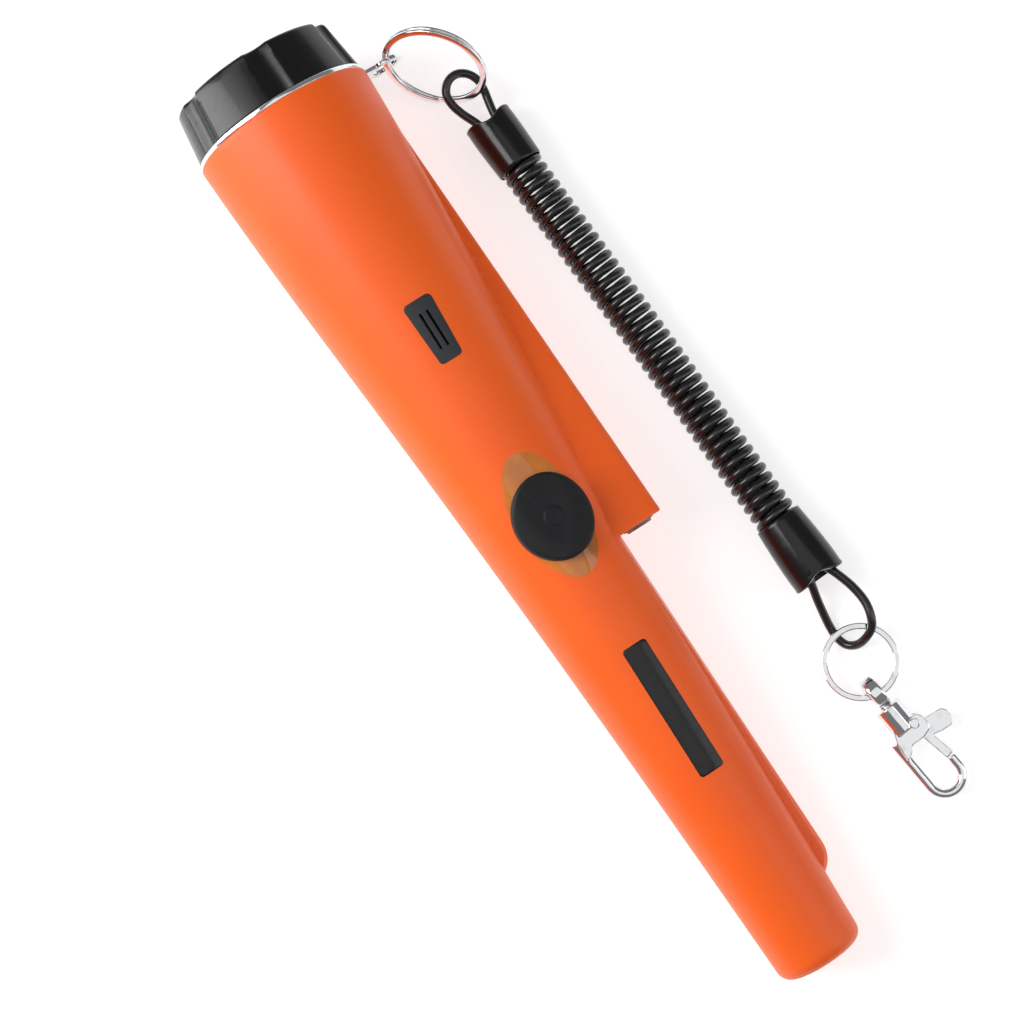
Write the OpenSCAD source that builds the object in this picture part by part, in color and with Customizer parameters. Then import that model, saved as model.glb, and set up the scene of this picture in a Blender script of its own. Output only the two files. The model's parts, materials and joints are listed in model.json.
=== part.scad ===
// Hand-held metal-detecting probe with a coiled lanyard, lying on its belly, button up.
// The probe is drawn along +X from its open mouth (x = 0) to its sensing tip, then laid down.

/* [Housing] */
// Radius of the housing at its open mouth
mouth_r = 22; // [21.6:0.2:27]
// Radius at the shoulder, where the barrel starts to narrow
shoulder_r = 20.4; // [19.6:0.2:25]
// Place of the shoulder's control point
shoulder_x = 52; // [44:1:62]
// Radius at the waist's control point
waist_r = 15.4; // [14.6:0.2:18.4]
// Place of the waist's control point
waist_x = 80; // [70:1:96]
// Radius of the sensing tip
tip_r = 10.45; // [9.8:0.05:13]
// Length of the housing, mouth to tip
housing_len = 226; // [215:1:272]
// Wall of the barrel
wall = 2.2; // [1.6:0.1:2.6]
// Rounding of the tip's edge
tip_round = 3; // [1.5:0.5:4]

/* [Side fin and blade] */
// End face of the fin, which holds the torch lamp
fin_end = 121; // [116:0.5:128]
// How far the fin reaches from the axis at its end face
fin_reach = 23.1; // [22.4:0.1:27]
// Half of the fin's thickness at its outer edge
fin_half = 9.9; // [8.5:0.1:12]
// Rounding of the fin's outer edges
fin_round = 2.7; // [1.5:0.1:3.5]
// How far the blade's edge stands from the axis at the fin
blade_near = 13.4; // [12.8:0.1:16]
// How far the blade's edge stands from the axis at its nose
blade_far = 14.2; // [13:0.1:17]
// Place of the blade's nose
blade_nose = 211; // [200:0.5:214]

/* [Cap] */
// Length of the cap's grip
cap_len = 12.3; // [10:0.1:15]
// Radius of the grip at the housing
cap_r = 21.5; // [20:0.1:26]
// Radius of the grip at its free end
cap_end_r = 19.9; // [18:0.1:24]
// Radius of the cap's plug
plug_r = 17.3; // [16.6:0.1:18]
// Length of the plug inside the mouth
plug_len = 11; // [9.5:0.5:13]
// Pitch of the cap's thread
thread_pitch = 3; // [2:0.5:4]
// Number of grip hollows round the cap
grip_count = 6; // [4:1:10]
// Radius of a grip hollow
grip_r = 4.6; // [3.5:0.1:6]
// Depth of a grip hollow
grip_depth = 1.3; // [0.6:0.1:1.6]

/* [Washer and rings] */
// Thickness of the lanyard washer
washer_t = 1.1; // [0.8:0.1:1.5]
// Distance of the washer's eye from the axis
eye_at = 28.5; // [27:0.5:34]
// Radius of the eye's hole
eye_hole_r = 3.2; // [2.9:0.1:3.5]
// Mean radius of the large split ring
big_ring_r = 11.7; // [10:0.1:14]
// Mean radius of the small split ring
small_ring_r = 8.3; // [7.6:0.1:10]

/* [Button and window] */
// Place of the button's middle along the barrel
button_x = 109.4; // [106:0.2:112]
// Length of the button along the barrel
button_len = 20.2; // [17:0.2:24]
// Width of the button
button_w = 18; // [16:0.2:20]
// How far the button travels
button_travel = 0.9; // [0.5:0.1:1.2]
// Length of the window round the button
window_len = 32.7; // [29:0.1:38]
// Width of the window
window_w = 17; // [14:0.2:19]

/* [Grille and badge] */
// Place of the grille's middle
grille_x = 60.6; // [58:0.2:64]
// Length of the grille
grille_len = 15.4; // [13:0.2:18]
// Width of the grille at its cap end
grille_w = 7.2; // [6:0.1:9]
// Place of the badge's middle
badge_x = 159.3; // [150:0.5:166]
// Length of the badge
badge_len = 33.3; // [25:0.1:40]
// Width of the badge
badge_w = 6.2; // [4.6:0.1:7]

/* [Battery] */
// Width of the nine-volt battery
battery_w = 26.5; // [25.5:0.1:26.6]
// Height of the battery
battery_h = 17.5; // [16.5:0.1:17.6]
// Length of the battery's can
battery_len = 46; // [44:0.5:50]

/* [Lanyard] */
// Diameter of the cord
cord_d = 2.1; // [1.8:0.1:2.2]
// Outside diameter of the coiled stretch
coil_d = 10.6; // [10:0.2:12]
/* [Hidden] */
$fn = 48;

// How the probe lies: its belly touches the surface near belly_x and at the tip.
belly_x = 22;
roll = 9;
eps = 0.01;
fit = 0.05;

// Barrel outline: a cubic curve from the mouth, over the shoulder and waist, to the tip.
function mix(a, b, u) = a + (b - a) * u;
function outline_at(u) =
    pow(1 - u, 3) * [0, mouth_r]
    + 3 * pow(1 - u, 2) * u * [shoulder_x, shoulder_r]
    + 3 * (1 - u) * u * u * [waist_x, waist_r]
    + pow(u, 3) * [housing_len, tip_r];
function outline_u(x, low = 0, high = 1, steps = 22) =
    let (middle = (low + high) / 2)
    steps == 0 ? middle
    : outline_at(middle)[0] < x ? outline_u(x, middle, high, steps - 1)
    : outline_u(x, low, middle, steps - 1);
function body_r(x) = outline_at(outline_u(x))[1];
function body_points(x0, x1, count, grow = 0) =
    [for (i = [0:count]) let (x = mix(x0, x1, i / count)) [body_r(x) + grow, x]];
function arc_points(centre, r, from, to, count) =
    [for (i = [0:count]) let (a = mix(from, to, i / count)) centre + r * [cos(a), sin(a)]];
function ellipse_points(long, wide, count) =
    [for (i = [0:count - 1]) let (a = 360 * i / count) [long / 2 * cos(a), wide / 2 * sin(a)]];
function rounded_points(w, h, r, count = 5) = concat(
    arc_points([w / 2 - r, h / 2 - r], r, 0, 90, count),
    arc_points([-w / 2 + r, h / 2 - r], r, 90, 180, count),
    arc_points([-w / 2 + r, -h / 2 + r], r, 180, 270, count),
    arc_points([w / 2 - r, -h / 2 + r], r, 270, 360, count)
);

// Laying down.
tip_flat_x = housing_len - tip_round;
pitch = atan((body_r(belly_x) - body_r(tip_flat_x)) / (tip_flat_x - belly_x));
lift = body_r(belly_x) * cos(pitch) + belly_x * sin(pitch);

// Mouth, plug and seal.
mouth_edge = 0.5;
seal_r = 0.88;
seal_x = 2;
seal_bore_r = plug_r + 1.33;
seal_mid_r = seal_bore_r - fit - seal_r;
seal_depth = 4.2;
thread_h = 0.8;
thread_bore_r = plug_r + thread_h + 0.1;
bore_depth = plug_len + 1.5;
thread_start = 5.2;
thread_turns = 1.6;
cap_face = -washer_t - 0.1;
cap_end = cap_face - cap_len;
cap_hollow_r = 14.9;
pad_t = 3.2;
pad_x = plug_len - pad_t + 0.4;

// Battery and what follows it.
battery_x = plug_len + 0.9;
battery_end = battery_x + battery_len;
terminal_t = 2.6;
snap_x = battery_end + 0.2;
snap_t = 4;
bulkhead_x = snap_x + snap_t + 5.7;
bulkhead_t = 2.4;

// Sensing end.
tip_inside = housing_len - wall;
rod_r = 4;
rod_end = tip_inside - 5.8;
rod_x = rod_end - 46;
bobbin_x = rod_end - 39;
bobbin_end = rod_end - 9;
bobbin_r = 7.6;

// Board and chassis.
board_x = bulkhead_x + bulkhead_t + 0.8;
board_end = rod_x - 8;
board_w = 15.6;
board_top = 2;
board_t = 1.6;
tray_top = -1;
tray_t = 2;
tray_end = board_end + 2;
screw_x = [board_x + 4, 128.5, board_end - 4];
switch_top = 5.5;
plunger_top = 9;
plunger_r = 1.7;
stem_r = 3.9;

// Torch lamp in the fin.
lamp_y = 18.4;
lamp_r = 4;
lamp_depth = 20;

// Where the object's middle falls once it lies down.
eye_angle = 11;
eye_outer_r = eye_hole_r + 1.3;
laid_low = cap_end * cos(pitch) - cap_end_r * sin(pitch);
laid_high = housing_len * cos(pitch) + (tip_r - tip_round) * sin(pitch);
eye_edge = eye_at * cos(eye_angle + roll) + eye_outer_r;
shift = [-(laid_low + laid_high) / 2, -(eye_edge - mouth_r) / 2, 0];

// Lanyard: frames on the surface, measured from the probe's mouth.
lanyard_at = [33.1, 41, 0];
lanyard_turn = 2.75;
coil_len = 105.8;
cord_r = cord_d / 2;
coil_r = coil_d / 2;
mouth_z = 6.7;
sleeve_upper_len = 11.8;
sleeve_lower_len = 14.8;
sleeve_hollow = 8;
crimp_len = 3.4;
sleeve_grip = 2;
ring_turn = 43.8;
ring_tilt = 64;
wire_w = 1.6;
wire_h = 1.8;
small_wire_h = 2.2;
eye_on_ring = 164.6;
loop_on_ring = 40;
small_ring_at = [174.6, 44.2, 4];
clasp_at = [182.2, 43.1, 4];
clasp_turn = 7;
clasp_dip = 2.6;
pin_at = [11, 2.3];
hook_mid = [24.8, 0];
hook_r = 4.1;
hook_wire = 1.2;

// Cord routes, in the lanyard's own frame: along it, across it, and up.
upper_route = [
    [-7.25, 1.8, 6.7], [-10, 1.9, 6.7], [-12.8, 2.3, 6.8], [-15.4, 2.9, 6.9], [-18, 3.5, 7.1],
    [-20.4, 3.6, 7.5], [-22.5, 2.7, 8.1], [-23.9, 1, 8.7], [-24.2, -1, 9.1], [-23.4, -3, 9.2],
    [-21.5, -4.5, 8.9], [-18.8, -4.7, 8.2], [-15.8, -3.9, 7.4], [-12.8, -2.7, 6.9],
    [-10, -1.9, 6.7], [-7.25, -1.8, 6.7]
];
lower_route = [
    [116.4, 1.8, 6.7], [118.6, 2.4, 6.8], [121.6, 3.6, 7], [126.2, 4.8, 7.2], [130.6, 5.1, 7.6],
    [134, 4.3, 7.7], [136.4, 2.9, 7], [137.6, 0.8, 5.4], [137.9, -1.6, 3], [136.6, -3.6, 1.5],
    [134, -4.4, 1.2], [131, -4.3, 1.3], [127.5, -3.8, 2.6], [124, -3.2, 4.4], [120.6, -2.4, 6],
    [118.2, -1.9, 6.6], [116.15, -1.8, 6.7]
];

module along_x(x = 0) { translate([x, 0, 0]) rotate([0, 90, 0]) children(); }
module laid() { translate(shift + [0, 0, lift]) rotate([0, pitch, 0]) rotate([-roll, 0, 0]) children(); }
module on_surface() { translate(shift) children(); }
module on_lanyard() { on_surface() translate(lanyard_at) rotate([0, 0, lanyard_turn]) children(); }
module on_clasp() { on_surface() translate(clasp_at) rotate([0, clasp_dip, clasp_turn]) children(); }
module tube(r, hole, x0, x1) {
    along_x(x0) difference() {
        cylinder(r = r, h = x1 - x0);
        translate([0, 0, -1]) cylinder(r = hole, h = x1 - x0 + 2);
    }
}
module rod(r, x0, x1) { along_x(x0) cylinder(r = r, h = x1 - x0); }
module block(low, high) { translate(low) cube(high - low); }

// A slice of the barrel's surface between two offsets, from x0 to x1.
module skin(x0, x1, inner, outer) {
    along_x() rotate_extrude($fn = 96) polygon(concat(
        body_points(x0, x1, 5, outer),
        [for (p = body_points(x1, x0, 5, inner)) p]
    ));
}
module oval(long, wide, h) { linear_extrude(h) polygon(ellipse_points(long, wide, 40)); }
module grille_shape(grow) {
    linear_extrude(30) polygon(concat(
        arc_points([-grille_len / 2 + 1.2, -grille_w / 2 + 1.2], 1.2 + grow, 180, 270, 4),
        arc_points([grille_len / 2 - 1, -grille_w / 2 + 1.7], 1 + grow, 270, 360, 4),
        arc_points([grille_len / 2 - 1, grille_w / 2 - 1.7], 1 + grow, 0, 90, 4),
        arc_points([-grille_len / 2 + 1.2, grille_w / 2 - 1.2], 1.2 + grow, 90, 180, 4)
    ));
}
module badge_shape(grow) {
    linear_extrude(30) polygon(rounded_points(badge_len + 2 * grow, badge_w + 2 * grow, 0.8));
}

// Tube swept along a route: rings of eight points, square to the route.
function unit(v) = v / norm(v);
function route_dir(p, i) = unit(p[min(i + 1, len(p) - 1)] - p[max(i - 1, 0)]);
function smooth_route(p, parts) = [
    for (i = [0:len(p) - 2]) for (k = [0:parts - 1]) let (
        u = k / parts,
        a = p[max(i - 1, 0)], b = p[i], c = p[i + 1], d = p[min(i + 2, len(p) - 1)]
    ) 0.5 * (2 * b + (c - a) * u + (2 * a - 5 * b + 4 * c - d) * u * u + (3 * b - a - 3 * c + d) * u * u * u),
    p[len(p) - 1]
];
module cord_tube(route, r, sides = 8) {
    count = len(route);
    points = [for (i = [0:count - 1]) let (
        t = route_dir(route, i),
        side = unit(cross([0, 0, 1], t)),
        rise = cross(t, side)
    ) for (k = [0:sides - 1]) let (a = 360 * k / sides) route[i] + r * (cos(a) * side + sin(a) * rise)];
    walls = [for (i = [0:count - 2]) for (k = [0:sides - 1]) let (
        a = i * sides + k, b = i * sides + (k + 1) % sides
    ) each [[a, b + sides, b], [a, a + sides, b + sides]]];
    caps = [[for (k = [0:sides - 1]) k], [for (k = [sides - 1:-1:0]) (count - 1) * sides + k]];
    polyhedron(points, concat(walls, caps));
}

// Housing.
module fin() {
    start_x = 12;
    start_r = 1.2;
    hull() {
        translate([start_x, body_r(start_x) - start_r + 0.1, 0]) sphere(r = start_r, $fn = 24);
        for (s = [-1, 1]) {
            translate([0, fin_reach - fin_round, s * (fin_half - fin_round)])
                rod(fin_round, fin_end - 1, fin_end, $fn = 32);
            translate([fin_end - 1, fin_round + 6, s * (fin_half + 1.2) - 0.3]) cube([1, 0.6, 0.6]);
        }
    }
}
module blade() {
    nose_r = 6.9;
    edge = 0.8;
    hull() {
        along_x(fin_end) rotate([0, 0, 90]) linear_extrude(0.1) polygon([
            [8, 9.6], [11.2, 9.2], [blade_near - 0.6, 2], [blade_near, edge],
            [blade_near, -edge], [blade_near - 0.6, -2], [11.2, -9.2], [8, -9.6]
        ]);
        translate([blade_nose - nose_r, blade_far - nose_r, -edge]) cylinder(r = nose_r, h = 2 * edge);
        translate([blade_nose - nose_r, blade_far - nose_r, -2.4]) cylinder(r = nose_r - 1.2, h = 4.8);
    }
}
module barrel() {
    side_lean = 14.7;
    difference() {
        along_x() rotate_extrude($fn = 96) polygon(concat(
            [[0, 0], [body_r(mouth_edge) - mouth_edge, 0]],
            body_points(mouth_edge, tip_flat_x, 30),
            arc_points([body_r(tip_flat_x) - tip_round, tip_flat_x], tip_round, 9, 90, 6),
            [[0, housing_len]]
        ));
        for (s = [-1, 1]) translate([fin_end - 5, blade_near, 0]) rotate([s * side_lean, 0, 0])
            translate([0, 0, -20]) cube([50, 20, 40]);
    }
}
module cavity() {
    along_x() rotate_extrude($fn = 96) polygon(concat(
        [[0, -1], [seal_bore_r, -1], [seal_bore_r, seal_depth], [thread_bore_r, seal_depth],
         [thread_bore_r, bore_depth]],
        body_points(bore_depth, tip_inside - 3, 30, -wall),
        [[body_r(tip_inside) - wall - 2, tip_inside], [0, tip_inside]]
    ));
}
module housing() {
    color("#ff6420") laid() difference() {
        union() {
            barrel();
            fin();
            blade();
        }
        cavity();
        translate([fin_end - lamp_depth, lamp_y, 0]) along_x() cylinder(r = lamp_r, h = lamp_depth + 1);
        translate([fin_end - lamp_depth - 4, 10, 0]) along_x() cylinder(r = 1.6, h = 8);
        translate([fin_end - lamp_depth - 1, 9, 0]) rotate([-90, 0, 0]) cylinder(r = 1.6, h = lamp_y - 9);
        translate([button_x - 0.8, 0, 0]) oval(window_len, window_w, 30);
        intersection() {
            translate([grille_x, 0, 0]) grille_shape(0);
            skin(grille_x - 10, grille_x + 10, -1.2, 3);
        }
        translate([grille_x, 0, 8]) linear_extrude(20) polygon(rounded_points(9.6, 3.6, 1));
        intersection() {
            translate([badge_x, 0, 0]) badge_shape(0);
            skin(badge_x - 22, badge_x + 22, -0.4, 3);
        }
    }
}
module window() {
    color("#d98a3c") laid() difference() {
        intersection() {
            translate([button_x - 0.8, 0, 0]) oval(window_len - 2 * fit, window_w - 2 * fit, 30);
            skin(button_x - 20, button_x + 20, -wall, 0.25);
        }
        translate([button_x, 0, 0]) cylinder(r = stem_r + 0.08, h = 30);
    }
}
module speaker_grille() {
    slot_l = 9;
    color("#3a3d42") laid() difference() {
        intersection() {
            translate([grille_x, 0, 0]) grille_shape(-fit);
            skin(grille_x - 10, grille_x + 10, -1.2, 0.1);
        }
        for (s = [-1, 1]) translate([grille_x - slot_l / 2, s * 0.9 - 0.3, 0]) cube([slot_l, 0.6, 30]);
    }
}
module badge() {
    color("#101010") laid() intersection() {
        translate([badge_x, 0, 0]) badge_shape(-fit);
        skin(badge_x - 22, badge_x + 22, -0.4, 0.1);
    }
}

// Torch lamp.
module led_lens() {
    color("#e8f0f4") laid() translate([0, lamp_y, 0]) {
        rod(lamp_r - fit, fin_end - 2.2, fin_end + 0.3);
        rod(lamp_r - 0.8, fin_end + 0.3 - eps, fin_end + 0.8);
    }
}
module led_reflector() {
    depth = 6.4;
    color("silver") laid() translate([0, lamp_y, 0]) along_x(fin_end - 2.2 - depth) difference() {
        cylinder(r = lamp_r - fit, h = depth);
        translate([0, 0, 1]) cylinder(r1 = 2.6, r2 = lamp_r - 0.5, h = depth, $fn = 48);
        translate([0, 0, -1]) cylinder(r = 2.6, h = 3);
    }
}
module led_lamp() {
    base = fin_end - 14.4;
    color("white") laid() translate([0, lamp_y, 0]) {
        rod(2.9, base, base + 1);
        rod(2.5, base + 1 - eps, base + 7);
        along_x(base + 7) sphere(r = 2.5);
    }
}

// Washer with the lanyard's eye.
module lanyard_washer() {
    color("silver") laid() translate([-washer_t, 0, 0]) rotate([-eye_angle, 0, 0]) difference() {
        union() {
            along_x() cylinder(r = mouth_r - 0.3, h = washer_t);
            translate([0, plug_r + 3, -3.2]) cube([washer_t, eye_at - plug_r - 3, 6.4]);
            translate([0, eye_at, 0]) along_x() cylinder(r = eye_outer_r, h = washer_t);
        }
        along_x(-1) cylinder(r = seal_bore_r + 0.15, h = washer_t + 2);
        translate([-1, eye_at, 0]) along_x() cylinder(r = eye_hole_r, h = washer_t + 2);
    }
}

// Battery, snap and leads.
module battery_case() {
    color("#555a60") laid() along_x(battery_x) rotate([0, 0, 90])
        linear_extrude(battery_len) polygon(rounded_points(battery_w, battery_h, 2.4));
}
module battery_terminals() {
    color("silver") laid() for (s = [-1, 1])
        translate([0, s * 6.35, 0]) rod(s > 0 ? 2.9 : 3.7, battery_end, battery_end + terminal_t);
}
module battery_snap() {
    color("#202022") laid() difference() {
        along_x(snap_x) rotate([0, 0, 90]) linear_extrude(snap_t) polygon(rounded_points(24.6, 11, 3));
        for (s = [-1, 1]) translate([0, s * 6.35, 0]) rod(3.9, snap_x - 1, snap_x + terminal_t);
    }
}
module battery_lead(y) {
    translate([0, y, board_top + 0.7]) rod(0.7, snap_x + snap_t, board_x + 5);
}
module battery_lead_red() { color("#c02020") laid() battery_lead(3); }
module battery_lead_black() { color("#181818") laid() battery_lead(-3); }
module bulkhead() {
    color("#4a4d50") laid() difference() {
        rod(body_r(bulkhead_x + bulkhead_t) - wall - fit, bulkhead_x, bulkhead_x + bulkhead_t);
        translate([0, 0, board_top + 0.7]) block([bulkhead_x - 1, -4.4, -1.2], [bulkhead_x + 4, 4.4, 1.2]);
    }
}

// Chassis, board and what is on it.
module chassis() {
    side = board_w / 2 + 1.4;
    color("#4a4d50") laid() difference() {
        union() {
            block([bulkhead_x + bulkhead_t, -side, tray_top - tray_t], [tray_end, side, tray_top]);
            for (s = [-1, 1]) block(
                [bulkhead_x + bulkhead_t, s > 0 ? board_w / 2 + 0.2 : -side, tray_top - eps],
                [tray_end, s > 0 ? side : -board_w / 2 - 0.2, board_top - board_t + 1]
            );
            for (x = screw_x) translate([x, 0, tray_top - eps])
                cylinder(r = 2.2, h = board_top - board_t - tray_top + eps);
        }
        for (x = screw_x) translate([x, 0, tray_top - tray_t - 1]) cylinder(r = 0.95, h = 8);
    }
}
module circuit_board() {
    color("#1d6b3a") laid() difference() {
        block([board_x, -board_w / 2, board_top - board_t], [board_end, board_w / 2, board_top]);
        for (x = screw_x) translate([x, 0, board_top - board_t - 1]) cylinder(r = 1.1, h = board_t + 2);
    }
}
module main_chip() {
    color("#1a1a1a") laid() {
        block([82, -2.6, board_top], [90, 2.6, board_top + 1.7]);
        for (i = [0:5]) for (s = [-1, 1])
            translate([82.8 + i * 1.27, s * 3 - 0.5, board_top]) cube([0.5, 1, 0.8]);
    }
}
module board_capacitors() {
    color("#26304a") laid() for (p = [[95, 4.6], [95, -4.6], [133.5, 4.4], [133.5, -4.4]])
        translate([p[0], p[1], board_top]) cylinder(r = 2.1, h = 5);
}
module board_resistors() {
    color("#20232a") laid() for (i = [0:5]) for (s = [-1, 1])
        translate([136.6 + i * 2.6, s * 6 - 0.6, board_top]) cube([1.6, 1.2, 0.55]);
}
module board_screws() {
    color("silver") laid() for (x = screw_x) translate([x, 0, 0]) {
        translate([0, 0, board_top]) difference() {
            cylinder(r = 1.8, h = 1.1);
            for (a = [0, 90]) rotate([0, 0, a]) translate([-1.1, -0.2, 0.6]) cube([2.2, 0.4, 1]);
        }
        translate([0, 0, tray_top - tray_t + 0.2]) cylinder(r = 0.9, h = board_top - tray_top + tray_t);
    }
}
module tact_switch() {
    color("#2a2a2c") laid() translate([button_x, 0, 0]) difference() {
        block([-3, -3, board_top], [3, 3, switch_top]);
        translate([0, 0, switch_top - 2.6]) cylinder(r = plunger_r + fit, h = 4);
    }
}
module indicator_leds() {
    color("#ffd9a0") laid() for (x = [button_x - 11.6, button_x + 11.4]) translate([x, 0, board_top]) {
        cylinder(r = 1.9, h = 1);
        cylinder(r = 1.5, h = 4.4);
        translate([0, 0, 4.4]) sphere(r = 1.5);
    }
}
module speaker() {
    color("#303236") laid() translate([grille_x, 0, 0]) {
        translate([0, 0, 10.4]) cylinder(r = 4, h = 1.4);
        translate([0, 0, 11.8 - eps]) cylinder(r = 6.5, h = 2.2);
    }
}
module speaker_gasket() {
    color("#141414") laid() intersection() {
        translate([grille_x, 0, 14]) difference() {
            cylinder(r = 6.4, h = 8);
            translate([0, 0, -1]) cylinder(r = 5, h = 10);
        }
        skin(grille_x - 9, grille_x + 9, -wall - 6, -wall - fit);
    }
}
module vibration_motor() {
    color("silver") laid() translate([0, 0, board_top + 3.4]) difference() {
        union() {
            rod(3.4, 139, 151);
            rod(1.6, 151 - eps, 151.8);
        }
        rod(0.55, 145, 153);
    }
}
module motor_weight() {
    color("#8c8f94") laid() translate([0, 0, board_top + 3.4]) {
        rod(0.5, 145.5, 156);
        difference() {
            rod(3, 152.2, 155.6);
            block([150, -4, 0.6], [160, 4, 4]);
        }
    }
}

// Sensing coil on its ferrite rod.
module rod_holder() {
    reach = body_r(rod_x + 5) - wall - fit;
    color("#4a4d50") laid() difference() {
        rod(reach, tray_end, rod_x + 5);
        rod(rod_r + fit, rod_x - 0.5, rod_x + 6);
        for (s = [-1, 1]) translate([0, s * 6.4, 2.8]) rod(1, tray_end - 1, rod_x + 6);
    }
}
module ferrite_rod() { color("#3c3c40") laid() rod(rod_r, rod_x, rod_end); }
module coil_bobbin() {
    flange = 1.2;
    color("#d8d4c8") laid() {
        tube(rod_r + 0.8, rod_r + fit, bobbin_x, bobbin_end);
        tube(bobbin_r, rod_r + 0.8 - eps, bobbin_x, bobbin_x + flange);
        tube(bobbin_r, rod_r + 0.8 - eps, bobbin_end - flange, bobbin_end);
    }
}
module coil_winding() {
    color("#b5651d") laid() tube(bobbin_r - 0.6, rod_r + 0.8 + fit, bobbin_x + 1.25, bobbin_end - 1.25);
}
module coil_leads() {
    color("#b5651d") laid() for (s = [-1, 1])
        translate([0, s * 6.4, board_top + 0.4]) rod(0.4, 156, bobbin_x);
}
module tip_foam() {
    color("#2c2c2e") laid() difference() {
        rod(body_r(tip_inside) - wall - 0.85, rod_end - 6, tip_inside - 2.2);
        rod(rod_r + fit, rod_end - 7, rod_end);
    }
}

// Button: a saddle that follows the barrel, with a dished top and a stem.
module button() {
    gap = 0.35 + button_travel;
    top = gap + 2.1;
    dish_r = 34;
    color("#1c1d20") laid() {
        difference() {
            intersection() {
                translate([button_x, 0, 0]) oval(button_len, button_w, 30);
                skin(button_x - 14, button_x + 14, gap, top);
            }
            translate([button_x, 0, body_r(button_x) + top - 1 + dish_r]) sphere(r = dish_r, $fn = 96);
        }
        translate([button_x, 0, plunger_top]) cylinder(r = stem_r, h = body_r(button_x) + gap + 0.6 - plunger_top);
    }
}
module switch_plunger() {
    color("#0f0f10") laid() translate([button_x, 0, switch_top - 1.4])
        cylinder(r = plunger_r, h = plunger_top - switch_top + 1.4);
}

// Cap with its plug, thread, seal and battery pad.
module cap_o_ring() {
    color("#101010") laid() along_x(seal_x) rotate_extrude() translate([seal_mid_r, 0]) circle(r = seal_r, $fn = 24);
}
module thread() {
    steps = 28;
    count = floor(steps * thread_turns);
    ridge = [[-0.3, -0.95], [-0.3, 0.95], [thread_h, 0.25], [thread_h, -0.25]];
    points = [for (i = [0:count]) for (q = ridge) let (
        a = 360 * i / steps, r = plug_r + q[0], x = thread_start + thread_pitch * i / steps + q[1]
    ) [x, r * cos(a), r * sin(a)]];
    walls = [for (i = [0:count - 1]) for (k = [0:3]) let (
        a = i * 4 + k, b = i * 4 + (k + 1) % 4
    ) each [[a, b + 4, b], [a, a + 4, b + 4]]];
    polyhedron(points, concat(walls, [[0, 1, 2, 3], [for (k = [3:-1:0]) count * 4 + k]]));
}
module cap() {
    draft = atan((cap_r - cap_end_r) / cap_len);
    groove = seal_mid_r - seal_r - fit;
    edge = 0.9;
    color("#18191b") laid() {
        difference() {
            along_x() rotate_extrude($fn = 96) polygon([
                [0, cap_end + 0.5], [cap_end_r - 4, cap_end + 0.5], [cap_end_r - 4.4, cap_end],
                [cap_end_r - edge, cap_end], [cap_end_r, cap_end + edge],
                [cap_r, cap_face], [plug_r, cap_face], [plug_r, seal_x - seal_r - fit],
                [groove, seal_x - seal_r - fit], [groove, seal_x + seal_r + fit],
                [plug_r, seal_x + seal_r + fit], [plug_r, plug_len - 0.5], [plug_r - 0.5, plug_len],
                [cap_hollow_r, plug_len], [cap_hollow_r, pad_x], [cap_hollow_r - 2.6, pad_x],
                [cap_hollow_r - 2.6, cap_end + 3], [0, cap_end + 3]
            ]);
            for (i = [0:grip_count - 1]) rotate([360 * i / grip_count, 0, 0])
                translate([cap_face + 0.6, 0, cap_r + grip_r - grip_depth]) rotate([0, -90 - draft, 0])
                    cylinder(r = grip_r, h = cap_len + 4);
        }
        thread();
    }
}
module battery_pad() {
    color("#3a3a3c") laid() rod(cap_hollow_r - 0.3, pad_x, plug_len + 0.8);
}

// Split rings: flat wire, with the groove between the two turns.
module split_ring(r, w, h) {
    notch = 0.16;
    rotate_extrude($fn = 72) translate([r, 0]) polygon([
        [w / 2 - 0.25, -h / 2], [w / 2, -h / 2 + 0.3], [w / 2, -notch], [w / 2 - notch, 0], [w / 2, notch],
        [w / 2, h / 2 - 0.3], [w / 2 - 0.25, h / 2], [-w / 2 + 0.25, h / 2], [-w / 2, h / 2 - 0.3],
        [-w / 2, notch], [-w / 2 + notch, 0], [-w / 2, -notch], [-w / 2, -h / 2 + 0.3], [-w / 2 + 0.25, -h / 2]
    ]);
}
function on_ring(a) = big_ring_r * [cos(a), -sin(a), 0];
eye_tilt = eye_angle + roll;
eye_r = eye_at + 0.9;
eye_place = [
    -washer_t / 2 * cos(pitch) - eye_r * sin(eye_tilt) * sin(pitch),
    eye_r * cos(eye_tilt),
    lift + washer_t / 2 * sin(pitch) - eye_r * sin(eye_tilt) * cos(pitch)
];
module ring_large() {
    color("silver") on_surface() translate(eye_place) rotate([0, 0, ring_turn]) rotate([ring_tilt, 0, 0])
        translate(-on_ring(eye_on_ring)) split_ring(big_ring_r, wire_w, wire_h);
}

// Lanyard.
module cord_upper_loop() { color("#151515") on_lanyard() cord_tube(smooth_route(upper_route, 2), cord_r); }
module cord_lower_loop() { color("#151515") on_lanyard() cord_tube(smooth_route(lower_route, 2), cord_r); }
coil_rings = 24;
coil_route = [for (i = [0:coil_rings]) let (u = i / coil_rings)
    [u * coil_len, 0.4 * pow(sin(180 * u), 2), mouth_z - 1.2 * pow(sin(180 * u), 2)]];
module cord_coil() {
    color("#151515") on_lanyard() cord_tube(coil_route, coil_r, 16);
}
module sleeve(len, mouth_radius, grip_radius) {
    rotate([0, 90, 0]) difference() {
        rotate_extrude($fn = 64) polygon([
            [0, 0], [mouth_radius - 1, 0], [mouth_radius, 1.2], [mouth_radius, 5],
            [grip_radius + 0.1, len], [grip_radius, len + sleeve_grip],
            [coil_r + 0.1, len + sleeve_grip], [coil_r + 0.1, len - fit], [0, len - fit]
        ]);
        translate([0, 0, -1]) cylinder(r = 4.7, h = sleeve_hollow + 1);
    }
}
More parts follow.
